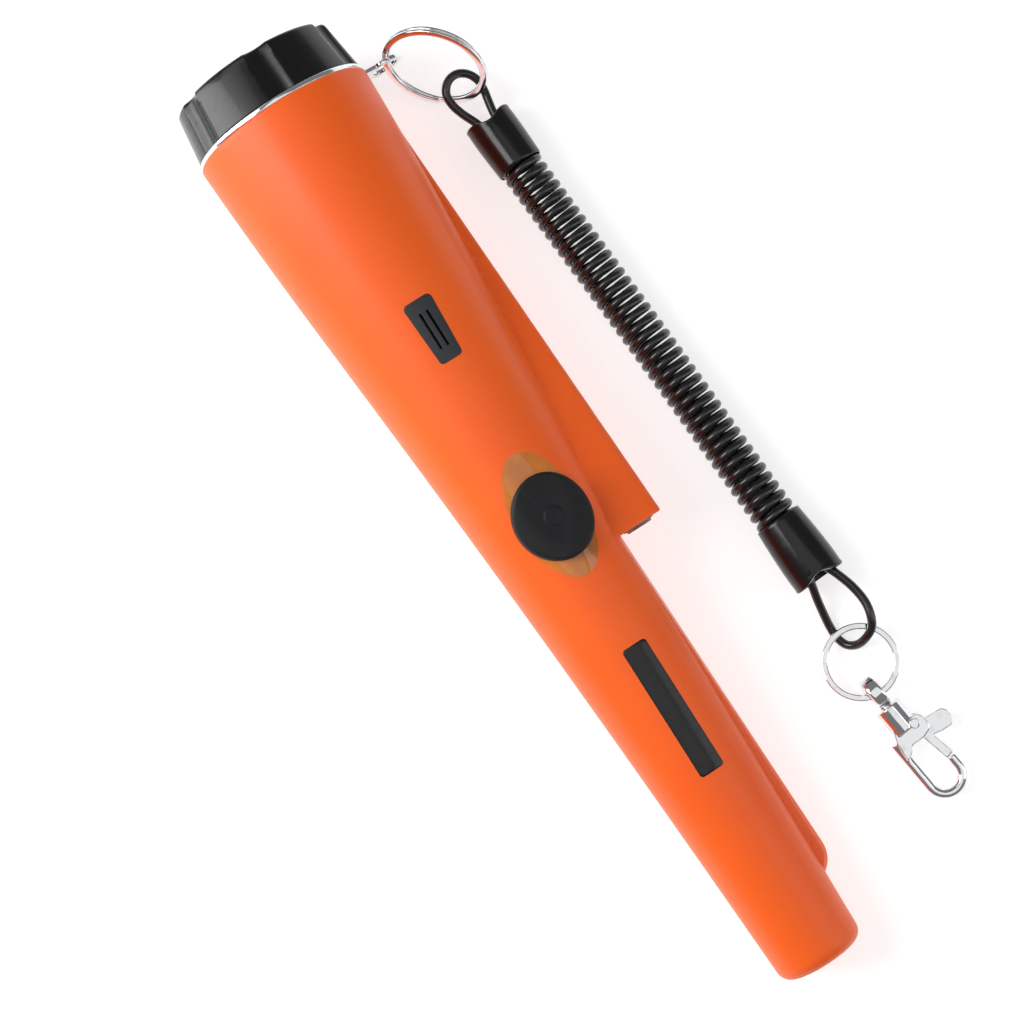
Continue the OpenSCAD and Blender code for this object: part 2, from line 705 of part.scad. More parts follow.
module crimp() {
    rotate([0, 90, 0]) difference() {
        rotate([0, 0, 90]) linear_extrude(crimp_len) polygon(rounded_points(7.2, 3.4, 1.6));
        for (s = [-1, 1]) translate([0, s * 1.8, -1]) cylinder(r = cord_r - 0.2, h = 2.4);
    }
}
module upper_end() { on_lanyard() translate([-sleeve_upper_len, 0, mouth_z]) children(); }
module lower_end() {
    on_lanyard() translate([coil_len + sleeve_lower_len, 0, mouth_z]) mirror([1, 0, 0]) children();
}
module sleeve_upper() { color("#1a1a1b") upper_end() sleeve(sleeve_upper_len, 6, 5.65); }
module sleeve_lower() { color("#1a1a1b") lower_end() sleeve(sleeve_lower_len, 6.45, 5.7); }
module crimp_upper() { color("silver") upper_end() translate([sleeve_hollow - crimp_len - 0.05, 0, 0]) crimp(); }
module crimp_lower() { color("silver") lower_end() translate([sleeve_hollow - crimp_len - 0.05, 0, 0]) crimp(); }

// Small ring and swivel clasp.
module ring_small() {
    color("silver") on_surface() translate(small_ring_at) split_ring(small_ring_r, wire_w, small_wire_h);
}
module clasp_swivel() {
    color("silver") on_clasp() {
        rotate([90, 0, 0]) rotate_extrude() translate([2.25, 0]) polygon(rounded_points_at(0, 1.8, 3.4, 0.7));
        rod(1.5, 3.4, 7.7);
        rod(2.4, 7.7 - eps, 8.5);
    }
}
function rounded_points_at(x, w, h, r) = [for (p = rounded_points(w, h, r, 3)) p + [x + w / 2, 0]];
module clasp_hook() {
    slot = 0.85;
    color("silver") on_clasp() difference() {
        union() {
            rod(3.3, 4.3, 11);
            translate([9.4, 0.7, -2.2]) linear_extrude(4.4) polygon([
                [0, -3.4], [2.4, -4.4], [5.4, -4.9], [7.4, -5], [6.6, -3.4], [5.2, -1.8], [5.4, 1.2], [4.8, 3.6],
                [3.6, 4.2], [1, 4], [0, 3.2]
            ]);
            translate([0, -hook_r, 0]) rod(hook_wire, 12, hook_mid[0]);
            translate(hook_mid) rotate([0, 0, -90]) rotate_extrude(angle = 180)
                translate([hook_r, 0]) circle(r = hook_wire, $fn = 24);
            translate([0, hook_r, 0]) rod(hook_wire, hook_mid[0] - 2.6, hook_mid[0]);
        }
        rod(1.58, 4, 7.6);
        rod(2.48, 7.55, 8.65);
        translate([pin_at[0], pin_at[1], -slot]) block([-2.7, -3.4, 0], [9, 6, 2 * slot]);
        translate([pin_at[0], pin_at[1], -4]) cylinder(r = 0.85, h = 8);
        translate([pin_at[0], pin_at[1], 2.2 - eps]) cylinder(r = 1.25, h = 3);
    }
}
module clasp_pin() {
    color("#c8c8cc") on_clasp() translate([pin_at[0], pin_at[1], -2.4]) {
        cylinder(r = 0.8, h = 4.8);
        translate([0, 0, 4.6]) cylinder(r = 1.15, h = 0.4);
    }
}
module lever_spring() {
    color("#a8a8ac") on_clasp() translate([pin_at[0], pin_at[1], 0.62])
        rotate_extrude() translate([1.3, 0]) circle(r = 0.2, $fn = 16);
}
module clasp_lever() {
    bar_len = hook_mid[0] - 2.75 - pin_at[0];
    lean = atan((hook_r - pin_at[1]) / bar_len);
    color("silver") on_clasp() translate([pin_at[0], pin_at[1], 0]) difference() {
        union() {
            translate([0, 0, -0.75]) cylinder(r = 1.9, h = 1.1);
            rotate([0, 0, lean]) {
                translate([0, -1.05, -0.75]) cube([3, 2.1, 1.1]);
                translate([2.6, -1.05, -0.75]) cube([bar_len - 2.6, 2.1, 1.5]);
            }
            translate([0.6, 1, -0.75]) linear_extrude(1.5)
                polygon([[0, 0], [4.2, 0.4], [5, 3.2], [5.2, 5.6], [4.2, 6.8], [1.6, 6.8], [0.6, 5.8], [0.2, 3]]);
        }
        translate([0, 0, -3]) cylinder(r = 0.87, h = 6);
        translate([0, 0, 0.35]) cylinder(r = 1.7, h = 2);
    }
}

housing();
window();
speaker_grille();
badge();
led_lens();
led_reflector();
led_lamp();
lanyard_washer();
battery_case();
battery_terminals();
battery_snap();
battery_lead_red();
battery_lead_black();
bulkhead();
chassis();
circuit_board();
main_chip();
board_capacitors();
board_resistors();
board_screws();
tact_switch();
indicator_leds();
speaker();
speaker_gasket();
vibration_motor();
rod_holder();
ferrite_rod();
coil_bobbin();
coil_winding();
coil_leads();
tip_foam();
button();
switch_plunger();
cap_o_ring();
cap();
battery_pad();
motor_weight();
ring_large();
cord_upper_loop();
crimp_upper();
sleeve_upper();
cord_coil();
sleeve_lower();
crimp_lower();
cord_lower_loop();
ring_small();
clasp_swivel();
clasp_hook();
clasp_pin();
lever_spring();
clasp_lever();
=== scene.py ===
import json
from math import atan, cos, pi, radians, sin, sqrt

import bpy
import numpy as np
from bpy.props import FloatProperty, FloatVectorProperty, IntProperty, PointerProperty
from mathutils import Matrix, Vector


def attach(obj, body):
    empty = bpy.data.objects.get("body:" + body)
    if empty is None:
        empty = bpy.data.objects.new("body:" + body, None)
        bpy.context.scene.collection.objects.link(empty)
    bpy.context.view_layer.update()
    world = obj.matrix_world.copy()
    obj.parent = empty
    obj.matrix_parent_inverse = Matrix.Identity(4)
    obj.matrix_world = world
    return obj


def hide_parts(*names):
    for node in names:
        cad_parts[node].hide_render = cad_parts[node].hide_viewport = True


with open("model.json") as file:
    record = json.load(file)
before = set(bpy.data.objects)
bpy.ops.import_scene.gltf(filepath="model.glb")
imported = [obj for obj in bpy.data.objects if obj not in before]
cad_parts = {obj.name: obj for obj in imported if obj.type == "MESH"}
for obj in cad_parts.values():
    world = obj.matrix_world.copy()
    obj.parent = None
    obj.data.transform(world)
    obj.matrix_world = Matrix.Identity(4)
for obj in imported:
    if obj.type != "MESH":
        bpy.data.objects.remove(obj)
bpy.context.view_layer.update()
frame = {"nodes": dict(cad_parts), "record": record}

bl_info = {
    "name": "Detecting Probe Workshop",
    "version": (1, 0, 0),
    "blender": (4, 5, 0),
    "location": "3D View > Sidebar > Probe",
    "description": "Builds the finished surfaces of a hand-held detecting probe and its coiled lanyard",
    "category": "Object",
}

MM = 0.001


# ---------------------------------------------------------------- sizes and colours


def length(name, description, default):
    return FloatProperty(name=name, description=description, default=default * MM, min=0, unit="LENGTH")


def colour(name, description, default):
    return FloatVectorProperty(
        name=name, description=description, default=default, size=3, min=0, max=1, subtype="COLOR"
    )


class ProbeSizes(bpy.types.PropertyGroup):
    """Sizes of the probe's skin and fittings"""

    corner: length("Fin corner", "Rounding where the fin's end face meets its sides", 0.5)
    blend: length("Blend", "Width of the soft join between barrel and fin", 0.12)
    cap_edge: length("Cap edge", "Bevel on the cap's grips", 0.35)
    sleeve_edge: length("Sleeve edge", "Bevel on the lanyard's sleeves", 0.5)
    button_dot: length("Button dot", "Radius of the raised dot in the button's dish", 2.3)


class LanyardSizes(bpy.types.PropertyGroup):
    """Sizes of the lanyard's cord"""

    cord: length("Cord", "Diameter of the cord", 2.1)
    coil: length("Coil", "Outside diameter of the coiled stretch", 10.6)
    turns: FloatProperty(name="Turns", description="Turns of the coil", default=41.5, min=4)
    steps: IntProperty(name="Steps", description="Points in one turn of the coil", default=20, min=8)


class ProbeColours(bpy.types.PropertyGroup):
    """Colours of the probe's finishes"""

    shell: colour("Shell", "Moulded housing", (1.0, 0.14, 0.010))
    shell_deep: colour("Shell, deep", "Housing where the pigment lies thicker", (0.98, 0.115, 0.007))
    black: colour("Black", "Glossy black mouldings", (0.005, 0.005, 0.006))
    rubber: colour("Rubber", "Button and seals", (0.009, 0.0095, 0.011))
    amber: colour("Amber", "Window round the button", (0.82, 0.25, 0.045))
    chrome: colour("Chrome", "Plated rings, washer and clasp", (0.82, 0.83, 0.85))
    cord: colour("Cord", "Jacket of the cord", (0.008, 0.008, 0.009))


# ---------------------------------------------------------------- materials


class Signal:
    """A number in a material's nodes, written in ordinary sums."""

    def __init__(self, finish, socket):
        self.finish = finish
        self.socket = socket

    def sum(self, operation, first, second):
        node = self.finish.node("ShaderNodeMath", {"operation": operation}, {0: first, 1: second})
        return Signal(self.finish, node.outputs[0])

    def __add__(self, other):
        return self.sum("ADD", self, other)

    def __radd__(self, other):
        return self.sum("ADD", other, self)

    def __sub__(self, other):
        return self.sum("SUBTRACT", self, other)

    def __rsub__(self, other):
        return self.sum("SUBTRACT", other, self)

    def __mul__(self, other):
        return self.sum("MULTIPLY", self, other)

    def __rmul__(self, other):
        return self.sum("MULTIPLY", other, self)


class Finish:
    """One material and the nodes that make it."""

    def __init__(self, name, **constants):
        self.material = bpy.data.materials.new(name)
        self.material.use_nodes = True
        self.tree = self.material.node_tree
        self.shader = self.tree.nodes["Principled BSDF"]
        for socket, value in constants.items():
            name = socket.replace("_", " ").title().replace("Ior", "IOR")
            self.shader.inputs[name].default_value = (*value, 1) if isinstance(value, tuple) else value
        self.place = self.node("ShaderNodeTexCoord").outputs["Object"]

    def node(self, kind, settings=None, inputs=None):
        node = self.tree.nodes.new(kind)
        for name, value in (settings or {}).items():
            if name == "stops":
                ramp = node.color_ramp
                for element, (at, grey) in zip((ramp.elements[0], ramp.elements[1]), value):
                    element.position = at
                    element.color = (grey, grey, grey, 1)
            else:
                setattr(node, name, value)
        for name, value in (inputs or {}).items():
            if isinstance(value, Signal):
                value = value.socket
            if isinstance(value, bpy.types.NodeSocket):
                self.tree.links.new(value, node.inputs[name])
            else:
                node.inputs[name].default_value = value
        return node

    def noise(self, scale, detail=3.0, rough=0.55, stretch=None):
        place = self.place
        if stretch:
            place = self.node("ShaderNodeMapping", None, {"Vector": place, "Scale": stretch}).outputs[0]
        inputs = {"Vector": place, "Scale": scale, "Detail": detail, "Roughness": rough}
        return Signal(self, self.node("ShaderNodeTexNoise", None, inputs).outputs["Fac"])

    def ramp(self, signal, low, high, dark=0.0, light=1.0):
        made = self.node("ShaderNodeValToRGB", {"stops": ((low, dark), (high, light))}, {"Fac": signal})
        return Signal(self, made.outputs["Color"])

    def mix(self, factor, first, second):
        made = self.node(
            "ShaderNodeMix", {"data_type": "RGBA"}, {0: factor, 6: (*first, 1), 7: (*second, 1)}
        )
        return made.outputs[2]

    def feed(self, socket, value):
        if isinstance(value, Signal):
            value = value.socket
        self.tree.links.new(value, self.shader.inputs[socket])

    def bump(self, height, strength, distance):
        made = self.node(
            "ShaderNodeBump", None, {"Strength": strength, "Distance": distance, "Height": height}
        )
        self.tree.links.new(made.outputs["Normal"], self.shader.inputs["Normal"])


def tint(name):
    return tuple(getattr(bpy.context.scene.probe_colours, name))


def scaled(colour_value, k):
    return tuple(c * k for c in colour_value)


def shell_finish():
    """Satin moulded plastic with a fine spark-eroded grain."""
    finish = Finish("orange_shell", roughness=0.3, specular_ior_level=0.38, coat_roughness=0.22)
    broad = finish.noise(22, 2.0)
    grain = finish.noise(2600, 2.0)
    cloud = finish.noise(160, 3.0)
    finish.feed("Base Color", finish.mix(finish.ramp(broad, 0.3, 0.7), tint("shell"), tint("shell_deep")))
    finish.feed("Roughness", 0.36 + 0.07 * cloud + 0.05 * grain)
    finish.feed("Coat Weight", 0.03 + 0.05 * broad)
    finish.bump(grain * 0.7 + cloud * 0.3, 0.14, 0.00004)
    return finish.material


def gloss_black_finish():
    """Glossy black moulding with a faint grain and a little dust."""
    finish = Finish("black_gloss", base_color=tint("black"), specular_ior_level=0.36, coat_roughness=0.08)
    flow = finish.noise(140, 3.0)
    grain = finish.noise(2800, 2.0)
    dust = finish.ramp(finish.noise(520, 4.0), 0.56, 0.74)
    finish.feed("Roughness", 0.2 + 0.08 * flow + 0.1 * dust)
    finish.feed("Coat Weight", 0.12 - 0.08 * dust)
    finish.bump(grain * 0.6 + flow * 0.4, 0.1, 0.00003)
    return finish.material


def rubber_finish():
    """Soft black rubber with a fine grain."""
    finish = Finish("button_rubber", specular_ior_level=0.25)
    grain = finish.noise(3000, 2.0)
    dust = finish.ramp(finish.noise(300, 4.0), 0.5, 0.8)
    dark = tint("rubber")
    finish.feed("Base Color", finish.mix(dust, dark, scaled(dark, 1.7)))
    finish.feed("Roughness", 0.44 + 0.1 * grain + 0.08 * dust)
    finish.bump(grain, 0.2, 0.00005)
    return finish.material


def chrome_finish():
    """Bright plating with hairline wear."""
    finish = Finish("plated_steel", metallic=1.0)
    wear = finish.ramp(finish.noise(420, 4.0), 0.5, 0.75)
    hair = finish.noise(1600, 2.0, stretch=(1, 0.12, 1))
    bright = tint("chrome")
    finish.feed("Base Color", finish.mix(wear, bright, scaled(bright, 0.86)))
    finish.feed("Roughness", 0.07 + 0.10 * wear + 0.05 * hair)
    finish.bump(hair, 0.06, 0.00003)
    return finish.material


def amber_finish():
    """Tinted clear plastic, deeper in tone in random patches."""
    finish = Finish("amber_window", transmission_weight=0.12, ior=1.49, coat_roughness=0.04)
    depth = finish.ramp(finish.noise(90, 2.0), 0.35, 0.65)
    amber = tint("amber")
    finish.feed("Base Color", finish.mix(depth, amber, scaled(amber, 0.72)))
    finish.feed("Roughness", 0.08 + 0.06 * finish.noise(500, 3.0))
    finish.feed("Coat Weight", 0.35 - 0.1 * depth)
    return finish.material


def cord_finish():
    """Glossy extruded cord jacket with faint die lines."""
    finish = Finish("cord_jacket", base_color=tint("cord"), specular_ior_level=0.5, coat_roughness=0.12)
    line = finish.noise(1800, 2.0)
    soft = finish.noise(240, 3.0)
    finish.feed("Roughness", 0.2 + 0.12 * soft)
    finish.feed("Coat Weight", 0.15 + 0.2 * soft)
    finish.bump(line, 0.1, 0.00003)
    return finish.material


def plain_finish(name, base, rough, metallic=0.0, spread=0.12, scale=400, transmission=0.0, bump=0.1):
    """A plain finish whose gloss and tone vary a little over the piece."""
    finish = Finish(name, metallic=metallic, transmission_weight=transmission)
    vary = finish.noise(scale, 3.0)
    finish.feed("Base Color", finish.mix(vary, base, scaled(base, 1 - spread * 2)))
    finish.feed("Roughness", rough + spread * vary)
    finish.bump(vary, bump, 0.00005)
    return finish.material


def copper_finish():
    """Enamelled copper wire wound close round the bobbin, with painted shade darkening the valleys between
    the turns.
    """
    finish = Finish("copper_wire", metallic=0.9)
    bands = finish.node(
        "ShaderNodeTexWave",
        {"wave_type": "BANDS", "bands_direction": "X"},
        {"Vector": finish.place, "Scale": 1600.0, "Distortion": 0.6},
    )
    groove = Signal(finish, bands.outputs["Fac"])
    # Painted shade: the base colour turns dark in the valleys between the turns of wire, following the
    # bump's wave.
    finish.feed("Base Color", finish.mix(groove, (0.22, 0.06, 0.02), (0.62, 0.24, 0.09)))
    finish.feed("Roughness", 0.32 - 0.1 * groove)
    finish.bump(groove, 0.5, 0.0001)
    return finish.material


FINISHES = {}
PLAIN = {
    "grey_plastic": ((0.022, 0.024, 0.028), 0.42),
    "clear_lens": ((0.86, 0.9, 0.93), 0.05, 0.0, 0.04, 300, 0.85, 0.02),
    "bright_reflector": ((0.85, 0.85, 0.87), 0.08, 1.0, 0.05),
    "battery_wrap": ((0.05, 0.055, 0.06), 0.3),
    "black_plastic": ((0.02, 0.02, 0.022), 0.45),
    "red_wire": ((0.5, 0.02, 0.02), 0.35),
    "green_board": ((0.012, 0.12, 0.04), 0.35),
    "blue_sleeve": ((0.02, 0.04, 0.16), 0.3),
    "steel_screw": ((0.55, 0.56, 0.58), 0.28, 1.0),
    "black_rubber": ((0.015, 0.015, 0.016), 0.6),
    "ferrite": ((0.05, 0.05, 0.055), 0.6),
    "ivory_plastic": ((0.62, 0.58, 0.47), 0.45),
}


def finish_for(slot):
    """The material of one of the record's slots, made the first time it is asked for."""
    if slot in FINISHES:
        return FINISHES[slot]
    makers = {
        "orange_shell": shell_finish,
        "black_gloss": gloss_black_finish,
        "button_rubber": rubber_finish,
        "plated_steel": chrome_finish,
        "amber_window": amber_finish,
        "cord_jacket": cord_finish,
        "copper_wire": copper_finish,
    }
    FINISHES[slot] = makers[slot]() if slot in makers else plain_finish(slot, *PLAIN[slot])
    return FINISHES[slot]


# ---------------------------------------------------------------- hands


def slot_of(node):
    return next(s["material_slot"] for s in frame["record"]["subparts"] if s["node"] == node)


def body_with(node):
    return next(b for b, nodes in frame["record"]["behaviour"]["bodies"].items() if node in nodes)


def pick(*objects):
    """Selects these objects and nothing else."""
    if bpy.context.mode != "OBJECT":
        bpy.ops.object.mode_set(mode="OBJECT")
    bpy.ops.object.select_all(action="DESELECT")
    for one in objects:
        one.select_set(True)
    bpy.context.view_layer.objects.active = objects[0]


def edit(one):
    pick(one)
    bpy.ops.object.mode_set(mode="EDIT")
    bpy.ops.mesh.select_all(action="SELECT")


def leave_edit():
    bpy.ops.object.mode_set(mode="OBJECT")


def bake_modifiers(one):
    pick(one)
    for modifier in list(one.modifiers):
        bpy.ops.object.modifier_apply(modifier=modifier.name)


def soften(one, angle=32):
    pick(one)
    bpy.ops.object.shade_smooth_by_angle(angle=radians(angle))


def bevel(one, width, segments=3, angle=32):
    made = one.modifiers.new("edge", "BEVEL")
    made.width = width
    made.segments = segments
    made.limit_method = "ANGLE"
    made.angle_limit = radians(angle)
    made.use_clamp_overlap = True
    bake_modifiers(one)


def settle(one, node):
    """Gives a piece its finish and its body, and lets it stand for its CAD node."""
    slot = slot_of(node)
    one.data.materials.clear()
    one.data.materials.append(finish_for(slot))
    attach(one, body_with(node))
    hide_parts(node)


def from_points(name, points, faces):
    mesh = bpy.data.meshes.new(name)
    mesh.from_pydata([tuple(p) for p in points], [], faces)
    one = bpy.data.objects.new(name, mesh)
    bpy.context.collection.objects.link(one)
    return one


def place_mesh(one, matrix):
    one.data.transform(matrix)
    one.data.update()


def refined(node, width, smooth=32):
    """A copy of a CAD node with its doubles merged, its flats cleaned and its edges bevelled."""
    source = frame["nodes"][node]
    one = bpy.data.objects.new(node + "_finished", source.data.copy())
    bpy.context.collection.objects.link(one)
    edit(one)
    bpy.ops.mesh.remove_doubles(threshold=0.000002)
    bpy.ops.mesh.dissolve_limited(angle_limit=radians(0.6))
    leave_edit()
    if width:
        bevel(one, width)
    soften(one, smooth)
    settle(one, node)
    return one


def grid_faces(rings, sides):
    """Quads between neighbouring rings of points."""
    return [
        (i * sides + k, i * sides + (k + 1) % sides, (i + 1) * sides + (k + 1) % sides, (i + 1) * sides + k)
        for i in range(rings - 1)
        for k in range(sides)
    ]


def sweep(name, centres, profile, upward):
    """A solid swept along a line of points: profile points are (across, up)."""
    centres = [Vector(c) for c in centres]
    count, sides = len(centres), len(profile)
    points = []
    for i, centre in enumerate(centres):
        ahead = (centres[min(i + 1, count - 1)] - centres[max(i - 1, 0)]).normalized()
        across = ahead.cross(upward).normalized()
        rise = across.cross(ahead)
        points += [centre + across * a + rise * b for a, b in profile]
    faces = grid_faces(count, sides)
    faces += [tuple(range(sides)), tuple((count - 1) * sides + k for k in reversed(range(sides)))]
    one = from_points(name, points, faces)
    edit(one)
    bpy.ops.mesh.normals_make_consistent(inside=False)
    leave_edit()
    return one


def rounded_box(width, height, corner, steps=3):
    """A closed outline of a rounded rectangle, as (across, up)."""
    outline = []
    for quarter, (sx, sy) in enumerate(((1, 1), (-1, 1), (-1, -1), (1, -1))):
        for k in range(steps + 1):
            turn = radians(90 * quarter + 90 * k / steps)
            outline.append(
                (
                    sx * (width / 2 - corner) + corner * cos(turn),
                    sy * (height / 2 - corner) + corner * sin(turn),
                )
            )
    return outline


# ---------------------------------------------------------------- the probe's own shape

MOUTH_R, SHOULDER, WAIST, TIP_R, BARREL_LEN = 22.0, (52.0, 20.4), (80.0, 15.4), 10.45, 226.0
TIP_ROUND, WALL, MOUTH_EDGE, MOUTH_BEVEL = 3.0, 2.2, 0.5, 0.4
CAVITY_START, BORE_R, SEAL_R, SEAL_DEPTH = 12.5, 18.2, 18.63, 4.2
FIN_START, FIN_END, FIN_REACH, FIN_HALF, FIN_ROUND = 12.0, 121.0, 23.1, 9.9, 2.7
BLADE_NEAR, BLADE_FAR, BLADE_NOSE, NOSE_R, SIDE_LEAN = 13.4, 14.2, 211.0, 6.9, 14.7
LAMP_Y, LAMP_R = 18.4, 4.0
BUTTON_X, WINDOW_X, WINDOW_LEN, WINDOW_W = 109.4, 108.6, 32.7, 17.0
BUTTON_LEN, BUTTON_W, BUTTON_GAP, BUTTON_TOP, DISH_R = 20.2, 18.0, 1.25, 3.35, 34.0
STEM_R, STEM_FOOT, STEM_TOP = 3.9, 9.0, 16.5
GRILLE_X, GRILLE_LEN, GRILLE_W = 60.6, 15.4, 7.2
BADGE_X, BADGE_LEN, BADGE_W = 159.3, 33.3, 6.2
CAP_END, CAP_END_R, ROLL, BELLY_X = -13.5, 19.9, 9.0, 22.0
CAP_FACE, CAP_R, PLUG_R, PLUG_LEN, CAP_ROUND = -1.2, 21.5, 17.3, 11.0, 0.9
GRIPS, GRIP_R, GRIP_DEPTH = 6, 4.6, 1.3
THREAD_START, THREAD_PITCH, THREAD_TURNS = 5.2, 3.0, 1.6
EYE_AT, EYE_ANGLE, EYE_OUTER, WASHER_T = 28.5, 11.0, 4.5, 1.1


def mix(a, b, u):
    return a + (b - a) * u


def outline_at(u):
    points = ((0.0, MOUTH_R), SHOULDER, WAIST, (BARREL_LEN, TIP_R))
    weights = ((1 - u) ** 3, 3 * (1 - u) ** 2 * u, 3 * (1 - u) * u * u, u**3)
    return [sum(w * p[k] for w, p in zip(weights, points)) for k in (0, 1)]


def body_r(x):
    """The barrel's radius at a place along it."""
    low, high = 0.0, 1.0
    for _ in range(30):
        middle = (low + high) / 2
        if outline_at(middle)[0] < x:
            low = middle
        else:
            high = middle
    return outline_at((low + high) / 2)[1]


TIP_FLAT = BARREL_LEN - TIP_ROUND
PITCH = atan((body_r(BELLY_X) - body_r(TIP_FLAT)) / (TIP_FLAT - BELLY_X))
LIFT = body_r(BELLY_X) * cos(PITCH) + BELLY_X * sin(PITCH)
LOW_X = CAP_END * cos(PITCH) - CAP_END_R * sin(PITCH)
HIGH_X = BARREL_LEN * cos(PITCH) + (TIP_R - TIP_ROUND) * sin(PITCH)
EYE_EDGE = EYE_AT * cos(radians(EYE_ANGLE + ROLL)) + EYE_OUTER
SHIFT = Vector((-(LOW_X + HIGH_X) / 2, -(EYE_EDGE - MOUTH_R) / 2, 0))
SURFACE = Matrix.Translation(SHIFT * MM) @ Matrix.Scale(MM, 4)
LAID = (
    SURFACE
    @ Matrix.Translation((0, 0, LIFT))
    @ Matrix.Rotation(PITCH, 4, "Y")
    @ Matrix.Rotation(-radians(ROLL), 4, "X")
)


def wrap(points):
    """The convex outline round some (y, z) points, anticlockwise."""
    points = sorted(set((round(y, 6), round(z, 6)) for y, z in points))

    def half(run):
        side = []
        for p in run:
            while len(side) > 1:
                (ay, az), (by, bz) = side[-2], side[-1]
                if (by - ay) * (p[1] - az) - (bz - az) * (p[0] - ay) > 0:
                    break
                side.pop()
            side.append(p)
        return side[:-1]

    return half(points) + half(points[::-1])


def fin_section(x):
    """The fin's cross-section: a rounded wedge that opens towards its end face."""
    t = (x - FIN_START) / (FIN_END - FIN_START)
    start_y, start_r = body_r(FIN_START) - 1.1, 1.2
    corners = [
        (mix(start_y, FIN_REACH - FIN_ROUND, t), t * (FIN_HALF - FIN_ROUND), mix(start_r, FIN_ROUND, t)),
        (mix(start_y, FIN_ROUND + 6.3, t), t * (FIN_HALF + 1.2), mix(start_r, 0.3, t)),
    ]
    turns = [2 * pi * k / 28 for k in range(28)]
    return wrap(
        [(y + r * cos(a), side * z + r * sin(a)) for y, z, r in corners for side in (-1, 1) for a in turns]
    )


def blade_section(x):
    """The blade's cross-section: a low ridge at the fin that thins towards its nose."""
    near = [(8, 9.6), (11.2, 9.2), (BLADE_NEAR - 0.6, 2.0), (BLADE_NEAR, 0.8)]
    nose_x, mid_y = BLADE_NOSE - NOSE_R, BLADE_FAR - NOSE_R
    t = min(1.0, (x - FIN_END) / (nose_x - FIN_END))
    past = max(0.0, x - nose_x)
    if past >= NOSE_R:
        return None
    far = []
    for radius, half in ((NOSE_R, 0.8), (NOSE_R - 1.2, 2.4)):
        if past < radius:
            span = sqrt(radius * radius - past * past)
            far += [(mid_y + span, half), (mid_y - span, half)]
    return wrap(
        [
            (mix(ay, by, t), mix(side_a * az, side_b * bz, t))
            for ay, az in near
            for by, bz in far
            for side_a in (-1, 1)
            for side_b in (-1, 1)
        ]
    )


def reach(section, turns):
    """How far an outline stands from the axis in each direction, or 0 where it is missed."""
    p = np.array(section)
    edge = np.roll(p, -1, axis=0) - p
    dy, dz = np.cos(turns)[:, None], np.sin(turns)[:, None]
    across = edge[:, 0] * dz - edge[:, 1] * dy
    across = np.where(np.abs(across) < 1e-9, 1e-9, across)
    along = (edge[:, 0] * p[:, 1] - edge[:, 1] * p[:, 0]) / across
    place = (dy * p[:, 1] - dz * p[:, 0]) / across
    hit = (place >= -1e-6) & (place <= 1 + 1e-6) & (along > 0)
    return np.where(hit, along, 0).max(axis=1)


def soft_max(a, b, width):
    """The larger of two radii, with a fillet where they cross."""
    h = np.clip(0.5 + 0.5 * (a - b) / width, 0, 1)
    return b * (1 - h) + a * h + width * h * (1 - h)


def skin_radius(x, turns, blend, corner, past_fin):
    """Radii of the housing's outside round one ring."""
    body = np.full(len(turns), body_r(x))
    lean = radians(SIDE_LEAN)
    if past_fin or x > FIN_END - 5:
        facing = np.cos(np.abs(turns) - lean)
        plane = BLADE_NEAR * cos(lean) / np.maximum(facing, 0.05)
        body = np.where(np.abs(turns) < pi / 2, np.minimum(body, plane), body)
    if not past_fin:
        if x <= FIN_START:
            return body
        fin = reach(fin_section(x), turns)
        near_end = max(0.0, x - (FIN_END - corner))
        fin = fin - (corner - sqrt(max(0.0, corner**2 - near_end**2)))
        width = blend * min(1.0, (x - FIN_START) / 20)
        full = np.full(len(turns), body_r(x))
        return soft_max(full, fin, max(width, 0.02))
    section = blade_section(x)
    if section is None:
        return body
    return soft_max(body, reach(section, turns), 0.12)


def ring_turns():
    """Directions round the axis, close together over the fin and the blade's edge."""
    side = [0.7 * k for k in range(14)] + [9.8 + 1.5 * k for k in range(40)]
    rest = np.linspace(side[-1], 180, 36)[1:]
    half = [radians(a) for a in side + list(rest)]
    return np.array([-a for a in half[-2:0:-1]] + half)


def inside_oval(x, y, centre, long, wide):
    return ((x - centre) / (long / 2)) ** 2 + (y / (wide / 2)) ** 2 < 1


